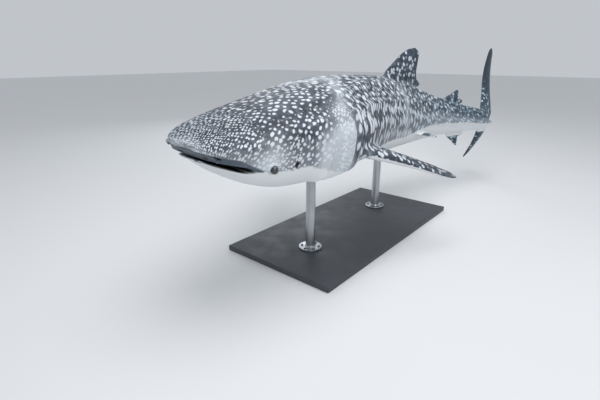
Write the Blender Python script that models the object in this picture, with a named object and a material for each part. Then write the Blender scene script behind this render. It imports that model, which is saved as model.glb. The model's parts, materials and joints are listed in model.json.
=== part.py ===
"""A life-size young whale shark, swimming, on a plain display stand.

Places on the animal are given as (station, side, height): station runs along the backbone from the
snout, side is positive to the animal's left, height is up from the backbone. All three are fractions
of the total length. settle() turns them into metres on the bent and tilted backbone.
+X runs from head to tail, +Z is up, and the left side faces -Y.
"""

import math

import bmesh
import bpy
import numpy as np

# Driving dimensions, in metres
TOTAL_LENGTH = 6.0
GAP = 0.0003
SNOUT_HEIGHT = 1.22
EYE_RADIUS = 0.025
BASE_SIZE = (2.3, 1.15, 0.05)
BASE_BEVEL = 0.008
ROD_RADIUS = 0.042
FLANGE_RADIUS = 0.105
FLANGE_HEIGHT = 0.016
ROD_STATIONS = (0.225, 0.450)
ROD_SINK = 0.06

# How the body is held: tilt and roll in degrees, and the way the backbone heads at some stations
NOSE_UP = 4.4
LEFT_SIDE_DOWN = 3.6
HEADING_STATIONS = (0.05, 0.25, 0.50, 0.72, 0.80, 0.84)
HEADINGS = (1.9, 8.6, -7.1, -22.9, -4.0, -2.0)

# Stations where one length of the body ends and the next begins
HEAD_END = 0.116
GILLS_END = 0.200
FRONT_TRUNK_END = 0.405
REAR_TRUNK_END = 0.600
STALK_END = 0.806

# The mouth: its corner, the slit and the line on which the lower jaw parts from the head
MOUTH_CORNER = (0.040, -0.0175)
MOUTH_FRONT_HEIGHT = -0.0120
MOUTH_SAG = 0.0015
MOUTH_OPENING = 0.0052
JAW_HINGE = (0.082, -0.075)
AHEAD_OF_SNOUT = -0.03
HALF_BAR = 0.12
CHIN_BACK = 0.013
CHIN_END = 0.06
LIP_RADIUS = 0.0024
LIP_SINK = 0.0007
LIP_STATIONS = (0.0425, 0.038, 0.033, 0.028, 0.023, 0.018, 0.0135, 0.0095, 0.006, 0.003, 0.001)

# Small things on the head: station, and degrees above the side of the body
EYE_PLACE = (0.0555, -14.5)
NOSTRIL_PLACE = (0.0065, -14.0)
SPIRACLE_PLACE = (0.084, -10.0)
SPIRACLE_RADII = (0.018, 0.022, 0.020)
NOSTRIL_RADII = (0.026, 0.010, 0.014)
BARBEL_RADII = (0.010, 0.024, 0.010)
LID_THICKNESS = 0.011

# The five gill slits on each side
GILL_FIRST = 0.1285
GILL_SPACING = 0.0142
GILL_COUNT = 5
GILL_LIFT = 0.0030
GILL_SINK = 0.0026
GILL_TOP, GILL_BOTTOM = 42.0, -50.0
GILL_FADE = 8.0
GILL_EDGE = 0.0006

# Ridges along the flanks: how far round from the side they lie, and how high they stand
RIDGE_ANGLES = (63.0, 36.0)
RIDGE_HEIGHT = 0.0028
RIDGE_WIDTH = 6.0
KEEL_WIDTH = 7.5

# The fins that stand in the middle plane: heights, and the stations of the two edges at them
FIRST_DORSAL_FRONT = (
    (0.050, 0.072, 0.094, 0.112, 0.124, 0.132, 0.1360),
    (0.390, 0.413, 0.4390, 0.463, 0.480, 0.496, 0.5140),
)
FIRST_DORSAL_REAR = (
    (0.050, 0.066, 0.073, 0.082, 0.100, 0.118, 0.129, 0.1360),
    (0.518, 0.542, 0.554, 0.5400, 0.5345, 0.5345, 0.5330, 0.5200),
)
FIRST_DORSAL_HALF = ((0.050, 0.08, 0.12, 0.1360), (0.0085, 0.0065, 0.0036, 0.0012))
SECOND_DORSAL_FRONT = ((0.032, 0.048, 0.059, 0.066), (0.620, 0.639, 0.660, 0.672))
SECOND_DORSAL_REAR = ((0.032, 0.044, 0.050, 0.060, 0.066), (0.684, 0.696, 0.683, 0.679, 0.677))
SECOND_DORSAL_HALF = ((0.032, 0.055, 0.066), (0.0045, 0.0030, 0.0010))
ANAL_FRONT = ((-0.053, -0.042, -0.028, -0.010), (0.701, 0.685, 0.662, 0.648))
ANAL_REAR = ((-0.053, -0.046, -0.034, -0.026, -0.010), (0.706, 0.7045, 0.7035, 0.718, 0.700))
ANAL_HALF = ((-0.053, -0.030, -0.010), (0.0010, 0.0028, 0.0042))

# The two lobes of the tail fin part at this height, and both trail behind the stroke
LOBE_SPLIT = 0.0110
UPPER_FROM, UPPER_REACH = 0.02, 0.16
LOWER_FROM, LOWER_REACH = 0.01, 0.09
UPPER_FRONT = (
    (0.011, 0.024, 0.050, 0.100, 0.140, 0.161, 0.169),
    (0.764, 0.770, 0.797, 0.848, 0.894, 0.920, 0.936),
)
UPPER_REAR = (
    (0.011, 0.024, 0.040, 0.070, 0.108, 0.140, 0.161, 0.169),
    (0.824, 0.830, 0.845, 0.872, 0.905, 0.931, 0.946, 0.946),
)
UPPER_HALF = ((0.011, 0.05, 0.12, 0.169), (0.0082, 0.0062, 0.0038, 0.0012))
LOWER_FRONT = ((-0.100, -0.093, -0.064, -0.034, -0.014, 0.011), (0.844, 0.835, 0.810, 0.787, 0.772, 0.764))
LOWER_REAR = ((-0.100, -0.095, -0.068, -0.038, -0.010, 0.011), (0.852, 0.852, 0.840, 0.828, 0.822, 0.824))
LOWER_HALF = ((-0.100, -0.055, -0.02, 0.011), (0.0012, 0.0045, 0.0070, 0.0082))
UPPER_BOW, UPPER_TRAIL, LOWER_TRAIL = 0.007, 0.074, 0.047

# The paired fins: reach out from the root, and the stations of the two edges there
PECTORAL_REACH = 0.1200
PECTORAL_ROOT = (0.052, -0.0048)
PECTORAL_DROP = 15.0
PECTORAL_TWIST = 2.5
PECTORAL_SAG = 0.018
PECTORAL_MIDDLE, PECTORAL_SWEEP = 0.232, 0.158
PECTORAL_FRONT = (
    (-0.004, 0.022, 0.045, 0.070, 0.095, 0.112, 0.120),
    (0.180, 0.191, 0.223, 0.267, 0.315, 0.352, 0.381),
)
PECTORAL_REAR = (
    (-0.004, 0.022, 0.034, 0.052, 0.075, 0.097, 0.112, 0.120),
    (0.272, 0.280, 0.291, 0.315, 0.351, 0.386, 0.404, 0.405),
)
PECTORAL_HALF = ((-0.004, 0.03, 0.07, 0.10, 0.12), (0.0108, 0.0083, 0.0058, 0.0036, 0.0015))
PELVIC_REACH = 0.0500
PELVIC_ROOT = (0.028, -0.0065)
PELVIC_DROP = 9.0
PELVIC_FRONT = ((0.0, 0.018, 0.036, 0.050), (0.456, 0.470, 0.493, 0.516))
PELVIC_REAR = ((0.0, 0.018, 0.030, 0.040, 0.050), (0.508, 0.522, 0.527, 0.522, 0.524))
PELVIC_HALF = ((0.0, 0.025, 0.050), (0.0055, 0.0035, 0.0010))

# Plain colours of the parts
BACK_GREY = (0.17, 0.23, 0.28)
HEAD_GREY = (0.20, 0.25, 0.30)
JAW_GREY = (0.45, 0.50, 0.54)
FIN_GREY = (0.13, 0.19, 0.24)
PALE_FIN = (0.33, 0.38, 0.42)
EYE_BLACK = (0.02, 0.02, 0.025)
PLATE_BLACK = (0.12, 0.12, 0.13)
STEEL_GREY = (0.45, 0.46, 0.47)


def smooth(stations, values):
    """A curve through the values that never swings past them."""
    x = np.array(stations, float)
    y = np.array(values, float)
    step = np.diff(x)
    slope = np.diff(y) / step
    tangent = np.zeros_like(y)
    tangent[0], tangent[-1] = slope[0], slope[-1]
    for i in range(1, len(x) - 1):
        if slope[i - 1] * slope[i] > 0:
            near = 2 * step[i] + step[i - 1]
            far = step[i] + 2 * step[i - 1]
            tangent[i] = (near + far) / (near / slope[i - 1] + far / slope[i])

    def at(where):
        where = np.clip(where, x[0], x[-1])
        i = np.clip(np.searchsorted(x, where, side="right") - 1, 0, len(step) - 1)
        t = (where - x[i]) / step[i]
        rise = y[i] * (1 + 2 * t) * (1 - t) ** 2 + y[i + 1] * t * t * (3 - 2 * t)
        return rise + step[i] * (tangent[i] * t * (1 - t) ** 2 + tangent[i + 1] * t * t * (t - 1))

    return at


half_width = smooth(
    (0, 0.004, 0.012, 0.03, 0.06, 0.10, 0.15, 0.20, 0.25, 0.30, 0.40, 0.50, 0.60, 0.70, 0.775, 0.806),
    (0.017, 0.0315, 0.0440, 0.0570, 0.0665, 0.0745, 0.081, 0.084, 0.082, 0.078, 0.067, 0.053, 0.037,
     0.024, 0.015, 0.005),
)
back_height = smooth(
    (0, 0.02, 0.05, 0.10, 0.15, 0.20, 0.30, 0.40, 0.50, 0.60, 0.70, 0.775, 0.806),
    (0.0035, 0.0130, 0.0245, 0.0395, 0.0520, 0.0630, 0.0785, 0.0820, 0.0720, 0.053, 0.0356, 0.026, 0.022),
)
belly_depth = smooth(
    (0, 0.02, 0.05, 0.10, 0.15, 0.20, 0.26, 0.36, 0.45, 0.55, 0.65, 0.70, 0.775, 0.806),
    (0.010, 0.024, 0.038, 0.0505, 0.0520, 0.0475, 0.0455, 0.0465, 0.0435, 0.0355, 0.0255, 0.021, 0.016,
     0.012),
)
squareness = smooth((0, 0.05, 0.15, 0.30, 0.60, 0.80), (2.9, 2.7, 2.4, 2.2, 2.1, 2.0))
ridge_strength = smooth((0.06, 0.13, 0.25, 0.50, 0.66, 0.72), (0.0, 0.4, 1.0, 1.0, 0.6, 0.0))
keel_height = smooth(
    (0.10, 0.25, 0.45, 0.62, 0.74, 0.78, 0.806), (0.0, 0.0020, 0.0030, 0.0065, 0.0090, 0.0085, 0.003)
)
keel_angle = smooth((0.30, 0.55, 0.75), (13.0, 8.0, 2.0))


def backbone():
    """Points and headings along the backbone, found by walking it in short steps."""
    stations = np.linspace(0, 1, 401)
    heading = np.radians(smooth(HEADING_STATIONS, HEADINGS)(stations))
    step = stations[1]
    ahead = np.stack([np.cos(heading), np.sin(heading)], 1)
    walked = np.cumsum((ahead[1:] + ahead[:-1]) / 2 * step, axis=0)
    return stations, heading, np.vstack([[0, 0], walked])


BACKBONE = backbone()


def settle(places):
    """Metres in the world for an array of (station, side, height)."""
    places = np.atleast_2d(np.array(places, float))
    stations, headings, line = BACKBONE
    heading = np.interp(places[:, 0], stations, headings)
    x = np.interp(places[:, 0], stations, line[:, 0]) + np.minimum(places[:, 0], 0)
    y = np.interp(places[:, 0], stations, line[:, 1])
    roll = math.radians(LEFT_SIDE_DOWN)
    side = places[:, 1] * math.cos(roll) + places[:, 2] * math.sin(roll)
    up = places[:, 2] * math.cos(roll) - places[:, 1] * math.sin(roll)
    x = x + side * np.sin(heading)
    y = y - side * np.cos(heading)
    level, rise = math.cos(math.radians(NOSE_UP)), math.sin(math.radians(NOSE_UP))
    tilted = np.stack([x * level + up * rise, y, up * level - x * rise], 1)
    return tilted * TOTAL_LENGTH + np.array([0, 0, SNOUT_HEIGHT])


def bump(angles, centre, width):
    return np.exp(-(((angles - centre) / width) ** 2))


def gill_relief(station, angles):
    """Flaps that rise towards the tail and end in a sharp edge over the next one."""
    along = (station - GILL_FIRST) / GILL_SPACING
    below_top = np.clip((GILL_TOP - angles) / GILL_FADE, 0, 1)
    window = below_top * np.clip((angles - GILL_BOTTOM) / GILL_FADE, 0, 1)
    if along < -1 or along > GILL_COUNT - 0.5:
        return 0 * window
    if along > GILL_COUNT - 1:
        return -GILL_SINK * (1 - (along - GILL_COUNT + 1) * 2) * window
    rise = along - math.floor(along)
    if along < 0:
        return GILL_LIFT * rise * window
    return (GILL_LIFT * rise - GILL_SINK * (1 - rise)) * window


def ring(station, angles, swell=0.0):
    """The body's outline at a station: angles in degrees, 90 on the back, 0 at the side, -90 on the belly."""
    turn = np.radians(angles)
    lift = np.sin(turn)
    reach = np.abs(np.cos(turn))
    power = 2 / squareness(station)
    side = half_width(station) * reach**power
    tall = np.where(lift >= 0, back_height(station), belly_depth(station))
    height = tall * np.sign(lift) * np.abs(lift) ** power
    relief = gill_relief(station, angles)
    for where in RIDGE_ANGLES:
        relief = relief + RIDGE_HEIGHT * ridge_strength(station) * bump(angles, where, RIDGE_WIDTH)
    relief = relief + keel_height(station) * bump(angles, keel_angle(station), KEEL_WIDTH)
    relief = relief + swell / TOTAL_LENGTH
    side = side + relief * reach
    height = height + relief * lift
    chin = CHIN_BACK * np.clip(-lift, 0, 1) * max(0.0, 1 - station / CHIN_END)
    return np.stack([station + chin, side, height], 1)


HALF_ANGLES = np.array(
    (90, 80, 69, 63, 57, 49.5, 42, 36, 30, 21, 12, 7, 2, -3, -11, -20, -30, -41, -53, -65, -77, -90), float
)


def full_ring(station, swell=0.0):
    left = ring(station, HALF_ANGLES, swell)
    right = left[-2:0:-1] * np.array([1, -1, 1])
    return np.vstack([left, right])


def closed_shape(name, points, faces):
    """An object of these points and faces, turned outwards."""
    mesh = bpy.data.meshes.new(name)
    mesh.from_pydata([tuple(p) for p in points], [], [tuple(f) for f in faces])
    shape = bmesh.new()
    shape.from_mesh(mesh)
    bmesh.ops.recalc_face_normals(shape, faces=shape.faces[:])
    if shape.calc_volume(signed=True) < 0:
        bmesh.ops.reverse_faces(shape, faces=shape.faces[:])
    shape.to_mesh(mesh)
    shape.free()
    thing = bpy.data.objects.new(name, mesh)
    bpy.context.scene.collection.objects.link(thing)
    return thing


def paint(node, colour, roughness=0.55, metallic=0.0):
    """Gives a node a material of its own."""
    finish = bpy.data.materials.new(node.name + "_finish")
    finish.use_nodes = True
    shader = finish.node_tree.nodes["Principled BSDF"]
    shader.inputs["Base Color"].default_value = (*colour, 1)
    shader.inputs["Roughness"].default_value = roughness
    shader.inputs["Metallic"].default_value = metallic
    finish.diffuse_color = (*colour, 1)
    node.data.materials.append(finish)


def make_object(name, points, faces, colour, roughness=0.55, metallic=0.0):
    node = closed_shape(name, points, faces)
    paint(node, colour, roughness, metallic)
    return node


def helper(name, points, faces):
    """A shape that only cuts or joins."""
    shape = closed_shape(name, points, faces)
    shape.hide_render = True
    shape.display_type = "WIRE"
    return shape


def loft(rings):
    """Points and triangles of a closed skin over rings that all have the same number of points."""
    count = len(rings[0])
    points = list(np.vstack(rings))
    faces = []
    for row in range(len(rings) - 1):
        for i in range(count):
            a = row * count + i
            b = row * count + (i + 1) % count
            faces.append((a, b, b + count))
            faces.append((a, b + count, a + count))
    last = (len(rings) - 1) * count
    for start, end_ring in ((0, rings[0]), (last, rings[-1])):
        points.append(end_ring.mean(axis=0))
        for i in range(count):
            faces.append((len(points) - 1, start + i, start + (i + 1) % count))
    return np.array(points), faces


def body_length(name, stations, colour):
    return make_object(name, *loft([settle(full_ring(s)) for s in stations]), colour)


def keep_largest(node):
    """Drops every loose scrap but the largest closed surface."""
    shape = bmesh.new()
    shape.from_mesh(node.data)
    left = set(shape.verts)
    islands = []
    while left:
        island = set()
        front = [left.pop()]
        while front:
            corner = front.pop()
            island.add(corner)
            for edge in corner.link_edges:
                other = edge.other_vert(corner)
                if other in left:
                    left.remove(other)
                    front.append(other)
        islands.append(island)
    islands.sort(key=len, reverse=True)
    for island in islands[1:]:
        bmesh.ops.delete(shape, geom=list(island), context="VERTS")
    bmesh.ops.triangulate(shape, faces=shape.faces[:])
    shape.to_mesh(node.data)
    shape.free()


def combine(node, operation, tools, solver="EXACT"):
    """Joins or cuts the node with closed shapes, then removes them."""
    group = bpy.data.collections.new(node.name + "_tools")
    bpy.context.scene.collection.children.link(group)
    for tool in tools:
        bpy.context.scene.collection.objects.unlink(tool)
        group.objects.link(tool)
    change = node.modifiers.new("shape", "BOOLEAN")
    change.operation = operation
    change.operand_type = "COLLECTION"
    change.collection = group
    change.solver = solver
    graph = bpy.context.evaluated_depsgraph_get()
    result = bpy.data.meshes.new_from_object(node.evaluated_get(graph))
    node.modifiers.clear()
    finish = node.data.materials[0]
    old = node.data
    node.data = result
    node.data.materials.clear()
    node.data.materials.append(finish)
    bpy.data.meshes.remove(old)
    for tool in tools:
        bpy.data.objects.remove(tool)
    bpy.data.collections.remove(group)
    keep_largest(node)


def prism(name, outline, half_side):
    """A bar across the whole head over an outline of (station, height) points."""
    count = len(outline)
    points = [(s, side, h) for side in (-half_side, half_side) for s, h in outline]
    faces = [tuple(range(count)), tuple(range(2 * count - 1, count - 1, -1))]
    for i in range(count):
        j = (i + 1) % count
        faces.append((i, j, j + count, i + count))
    return helper(name, settle(points), faces)


def ball(name, centre, radii, axes, rings=10, segments=18, make=helper, **look):
    """An ellipsoid with its own three axes, in metres."""
    points = []
    for polar in math.pi * np.arange(1, rings) / rings:
        for around in 2 * math.pi * np.arange(segments) / segments:
            across = radii[0] * math.cos(around) * axes[0]
            over = radii[1] * math.sin(around) * axes[1]
            points.append(centre + math.sin(polar) * (across + over) + math.cos(polar) * radii[2] * axes[2])
    points += [centre + radii[2] * axes[2], centre - radii[2] * axes[2]]
    top, bottom = len(points) - 2, len(points) - 1
    faces = []
    for j in range(segments):
        k = (j + 1) % segments
        faces.append((top, j, k))
        for i in range(0, (rings - 2) * segments, segments):
            faces.append((i + j, i + segments + j, i + segments + k, i + k))
        faces.append((bottom, (rings - 2) * segments + k, (rings - 2) * segments + j))
    return make(name, points, faces, **look)


def hoop(name, centre, radius, thickness, axes, segments=20, sides=8):
    """A ring of round section that lies in the plane of the first two axes."""
    points = []
    faces = []
    for i in range(segments):
        around = 2 * math.pi * i / segments
        out = math.cos(around) * axes[0] + math.sin(around) * axes[1]
        for j in range(sides):
            turn = 2 * math.pi * j / sides
            middle = centre + out * (radius + thickness * math.cos(turn))
            points.append(middle + axes[2] * thickness * math.sin(turn))
            a, b = i * sides + j, i * sides + (j + 1) % sides
            c = (i + 1) % segments * sides
            faces.append((a, b, c + (j + 1) % sides, c + j))
    return helper(name, points, faces)


def surface_frame(station, angle, side):
    """A point on the body's surface, in metres, with its outward, rearward and upward directions."""
    mirror = np.array([1, side, 1])
    here = settle(ring(station, np.array([angle])) * mirror)[0]
    back = settle(ring(station + 0.004, np.array([angle])) * mirror)[0] - here
    over = settle(ring(station, np.array([angle + 3.0])) * mirror)[0] - here
    out = np.cross(back, over) * side
    out = out / np.linalg.norm(out)
    back = back / np.linalg.norm(back)
    up = np.cross(out, back)
    return here, out, back, up / np.linalg.norm(up)


FIN_CHORD = np.array((0.0, 0.03, 0.12, 0.30, 0.52, 0.75, 0.92, 1.0))
FIN_SWELL = np.array((0.0, 0.42, 0.80, 1.0, 0.88, 0.55, 0.25, 0.0))


def fin(name, rows, edges, frame, colour):
    """A fin as rows of lens-shaped sections from its sunk root to its tip, cut to fit the body.

    edges holds three curves over the row's height: where the section starts, where it ends
    and half its thickness. frame turns (along the chord, out of the plane, height) into a
    place on the animal.
    """
    curves = [smooth(*edge) for edge in edges]
    rings = []
    for height in rows:
        start, end, half = (float(curve(height)) for curve in curves)
        chord = start + (end - start) * FIN_CHORD
        swell = half * FIN_SWELL
        one_face = [frame(c, t, height) for c, t in zip(chord, swell)]
        other_face = [frame(c, -t, height) for c, t in zip(chord, swell)]
        rings.append(settle(one_face + other_face[-2:0:-1]))
    count = len(rings[0])
    half_count = len(FIN_CHORD)
    points = np.vstack(rings)
    faces = []
    for row in range(len(rows) - 1):
        near, far = row * count, (row + 1) * count
        for i in range(half_count - 1):
            faces.append((near + i, near + i + 1, far + i + 1))
            faces.append((near + i, far + i + 1, far + i))
            a, b = (count - i) % count, (count - i - 1) % count
            faces.append((near + b, near + a, far + b))
            faces.append((near + a, far + a, far + b))
    for start, turned in ((0, 1), ((len(rows) - 1) * count, -1)):
        faces.append((start, start + 1, start + count - 1)[::turned])
        for i in range(1, half_count - 2):
            a, b = start + i, start + i + 1
            c, d = start + count - i, start + count - i - 1
            faces.append((a, b, c)[::turned])
            faces.append((b, d, c)[::turned])
        faces.append((start + half_count - 2, start + half_count - 1, start + half_count)[::turned])
    node = make_object(name, points, faces, colour)
    combine(node, "DIFFERENCE", [body_cutter("body")])


def spread(start, end, count, crowd=1.0):
    """Heights from start to end, closer together towards the end when crowd is over 1."""
    t = np.linspace(0, 1, count)
    return start + (end - start) * (1 - (1 - t) ** crowd)


def ends(edge):
    """The first and the last height of a fin's edge."""
    return edge[0][0], edge[0][-1]


def body_stations():
    """Every station where the body has a ring, close together at the snout and on each gill flap."""
    head = list(HEAD_END * np.linspace(0, 1, 21) ** 1.75)
    gills = [HEAD_END + GAP / TOTAL_LENGTH]
    for i in range(GILL_COUNT):
        edge = GILL_FIRST + i * GILL_SPACING
        gills += [edge - GILL_SPACING * 0.5, edge - GILL_EDGE, edge + GILL_EDGE]
    gills += [edge + GILL_SPACING * 0.5, GILLS_END]
    lengths = {"head": head, "gill_region": sorted(gills)}
    spans = (
        ("trunk_front", GILLS_END, FRONT_TRUNK_END, 12),
        ("trunk_rear", FRONT_TRUNK_END, REAR_TRUNK_END, 12),
        ("tail_stalk", REAR_TRUNK_END, STALK_END, 14),
    )
    for name, start, end, count in spans:
        lengths[name] = list(np.linspace(start + GAP / TOTAL_LENGTH, end, count))
    return lengths


LENGTHS = body_stations()


def body_cutter(name):
    """The whole body swollen by the gap, to fit what grows from it."""
    stations = sorted(s for part in LENGTHS.values() for s in part)
    stations[-1] += 1.4 * GAP / TOTAL_LENGTH
    return helper(name, *loft([settle(full_ring(s, swell=1.4 * GAP)) for s in stations]))


def mouth_outline():
    """The slit between the lips, seen from the side, from well ahead of the snout to the mouth's corner."""
    corner_station, corner_height = MOUTH_CORNER
    bend = corner_station * 0.55
    middle = MOUTH_FRONT_HEIGHT - MOUTH_SAG
    half = MOUTH_OPENING / 2
    above = [
        (AHEAD_OF_SNOUT, MOUTH_FRONT_HEIGHT + half),
        (bend, middle + half * 0.9),
        (corner_station, corner_height + half * 0.3),
    ]
    below = [
        (corner_station, corner_height - half * 0.3),
        (bend, middle - half * 0.9),
        (AHEAD_OF_SNOUT, MOUTH_FRONT_HEIGHT - half),
    ]
    return above + below


def jaw_outline(shrink=0.0):
    """What lies below the slit and ahead of the jaw's hinge line, seen from the side."""
    corner_station, corner_height = MOUTH_CORNER
    return [
        (AHEAD_OF_SNOUT, MOUTH_FRONT_HEIGHT),
        (corner_station * 0.55, MOUTH_FRONT_HEIGHT - MOUTH_SAG),
        (corner_station - shrink, corner_height),
        (JAW_HINGE[0] - shrink, JAW_HINGE[1]),
        (AHEAD_OF_SNOUT, JAW_HINGE[1]),
    ]


def side_at(station, height):
    """How far out the skin lies at a height below the backbone."""
    power = squareness(station)
    share = np.clip(-height / belly_depth(station), 0, 0.999)
    return half_width(station) * (1 - share**power) ** (1 / power)


def lip(name, above):
    """A soft roll round the snout, just above or below the slit of the mouth, from corner to corner."""
    line = []
    for station in LIP_STATIONS:
        share = station / MOUTH_CORNER[0]
        middle = MOUTH_FRONT_HEIGHT + (MOUTH_CORNER[1] - MOUTH_FRONT_HEIGHT) * share**1.6
        height = middle + above * (MOUTH_OPENING / 2 * (1.25 - share) + 0.0004)
        chin = CHIN_BACK * min(1.0, -height / belly_depth(station)) * max(0.0, 1 - station / CHIN_END)
        line.append((station + chin, side_at(station, height) - LIP_SINK, height))
    path = settle(line + [(s, -side, h) for s, side, h in reversed(line)])
    turns = np.radians(np.arange(0, 360, 45))[:, None]
    rings = []
    for i, here in enumerate(path):
        along = path[min(i + 1, len(path) - 1)] - path[max(i - 1, 0)]
        out = np.cross(along, (0, 0, 1.0))
        out = out / np.linalg.norm(out)
        up = np.cross(out, along / np.linalg.norm(along))
        taper = min(1.0, 0.45 + 0.25 * min(i, len(path) - 1 - i))
        radius = LIP_RADIUS * TOTAL_LENGTH * taper
        rings.append(here + radius * (np.cos(turns) * out + np.sin(turns) * up))
    return helper(name, *loft(rings))


def face_pieces(word, side):
    """One side of the head: makes the eye, and gives what is joined to the head and what is cut from it."""
    here, out, back, up = surface_frame(*EYE_PLACE, side)
    centre = here - out * EYE_RADIUS * 0.62
    axes = (back, up, out)
    ball("eye_" + word, centre, [EYE_RADIUS] * 3, axes, make=make_object, colour=EYE_BLACK, roughness=0.1)
    lids = hoop("lids_" + word, here - out * 0.004, EYE_RADIUS * 1.12, LID_THICKNESS, axes)
    socket = ball("socket_" + word, centre, [EYE_RADIUS + GAP] * 3, axes)
    here, out, back, up = surface_frame(*SPIRACLE_PLACE, side)
    spiracle = ball("spiracle_" + word, here, SPIRACLE_RADII, (back, up, out), 8, 12)
    here, out, back, up = surface_frame(*NOSTRIL_PLACE, side)
    nostril = ball("nostril_" + word, here + up * 0.004, NOSTRIL_RADII, (back, up, out), 8, 12)
    barbel = ball("barbel_" + word, here - up * 0.018, BARBEL_RADII, (back, up, out), 6, 8)
    return [lids, barbel], [socket, spiracle, nostril]


def make_head():
    head = body_length("head", LENGTHS["head"], HEAD_GREY)
    jaw = body_length("lower_jaw", LENGTHS["head"], JAW_GREY)
    left_joined, left_cut = face_pieces("left", 1)
    right_joined, right_cut = face_pieces("right", -1)
    combine(head, "UNION", left_joined + right_joined + [lip("upper_lip", 1)])
    slit = prism("mouth_slit", mouth_outline(), HALF_BAR)
    jaw_room = prism("jaw_room", jaw_outline(), HALF_BAR)
    combine(head, "DIFFERENCE", left_cut + right_cut + [slit, jaw_room])
    combine(jaw, "UNION", [lip("lower_lip", -1)])
    combine(jaw, "INTERSECT", [prism("jaw_block", jaw_outline(GAP / TOTAL_LENGTH * 1.3), HALF_BAR)])
    combine(jaw, "DIFFERENCE", [prism("mouth_slit", mouth_outline(), HALF_BAR)])


def make_body():
    make_head()
    body_length("gill_region", LENGTHS["gill_region"], HEAD_GREY)
    body_length("trunk_front", LENGTHS["trunk_front"], BACK_GREY)
    body_length("trunk_rear", LENGTHS["trunk_rear"], BACK_GREY)
    body_length("tail_stalk", LENGTHS["tail_stalk"], BACK_GREY)


def upright(chord, out, height):
    return (chord, out, height)


def make_middle_fins():
    """The two fins on the back and the one under the tail stalk."""
    first = (FIRST_DORSAL_FRONT, FIRST_DORSAL_REAR, FIRST_DORSAL_HALF)
    fin("first_dorsal_fin", spread(*ends(FIRST_DORSAL_FRONT), 16, 1.9), first, upright, FIN_GREY)
    second = (SECOND_DORSAL_FRONT, SECOND_DORSAL_REAR, SECOND_DORSAL_HALF)
    fin("second_dorsal_fin", spread(*ends(SECOND_DORSAL_FRONT), 10, 1.6), second, upright, FIN_GREY)
    anal = (ANAL_FRONT, ANAL_REAR, ANAL_HALF)
    fin("anal_fin", spread(*ends(ANAL_FRONT)[::-1], 10, 1.6)[::-1], anal, upright, PALE_FIN)


def lagging(chord, out, height):
    """The tail fin's plane, whose two tips trail behind its stroke."""
    raised = np.clip((height - UPPER_FROM) / UPPER_REACH, 0, 1)
    lowered = np.clip((-height - LOWER_FROM) / LOWER_REACH, 0, 1)
    behind = UPPER_BOW * math.sin(math.pi * raised) + UPPER_TRAIL * raised + LOWER_TRAIL * lowered**1.3
    return (chord, out - behind, height)


def make_tail_fin():
    half_gap = GAP / TOTAL_LENGTH / 2
    upper = (UPPER_FRONT, UPPER_REAR, UPPER_HALF)
    rows = spread(LOBE_SPLIT + half_gap, ends(UPPER_FRONT)[1], 18, 1.5)
    fin("caudal_upper_lobe", rows, upper, lagging, FIN_GREY)
    lower = (LOWER_FRONT, LOWER_REAR, LOWER_HALF)
    rows = spread(LOBE_SPLIT - half_gap, ends(LOWER_FRONT)[0], 14, 1.5)[::-1]
    fin("caudal_lower_lobe", rows, lower, lagging, FIN_GREY)


def make_pectoral(word, mirror):
    drop = math.radians(PECTORAL_DROP)

    def frame(chord, out, height):
        share = max(height, 0.0) / PECTORAL_REACH
        twist = math.radians(PECTORAL_TWIST) * (0.4 + 0.6 * min(1.0, share * 2.4))
        behind = chord - PECTORAL_MIDDLE - PECTORAL_SWEEP * share**1.5
        side = PECTORAL_ROOT[0] + height * math.cos(drop) + out * math.sin(drop)
        up = PECTORAL_ROOT[1] - height * math.sin(drop) + out * math.cos(drop)
        up = up - PECTORAL_SAG * share**2 - behind * math.sin(twist)
        return (chord + out * math.sin(twist), mirror * side, up)

    edges = (PECTORAL_FRONT, PECTORAL_REAR, PECTORAL_HALF)
    fin("pectoral_fin_" + word, spread(*ends(PECTORAL_FRONT), 18, 1.5), edges, frame, FIN_GREY)


def make_pelvic(word, mirror):
    drop = math.radians(PELVIC_DROP)

    def frame(chord, out, height):
        side = PELVIC_ROOT[0] + height * math.cos(drop) + out * math.sin(drop)
        up = PELVIC_ROOT[1] - height * math.sin(drop) + out * math.cos(drop)
        return (chord, mirror * side, up)

    edges = (PELVIC_FRONT, PELVIC_REAR, PELVIC_HALF)
    fin("pelvic_fin_" + word, spread(0.0, PELVIC_REACH, 12, 1.5), edges, frame, PALE_FIN)


def cylinder(name, foot, top, radius, segments=32):
    """Points and faces of an upright round bar from its foot to a height."""
    turns = 2 * math.pi * np.arange(segments) / segments
    x, y = foot[0] + radius * np.cos(turns), foot[1] + radius * np.sin(turns)
    points = [(x[i], y[i], z) for z in (foot[2], top) for i in range(segments)]
    faces = [tuple(range(segments))[::-1], tuple(range(segments, 2 * segments))]
    for i in range(segments):
        j = (i + 1) % segments
        faces.append((i, j, j + segments, i + segments))
    return name, points, faces


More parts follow.
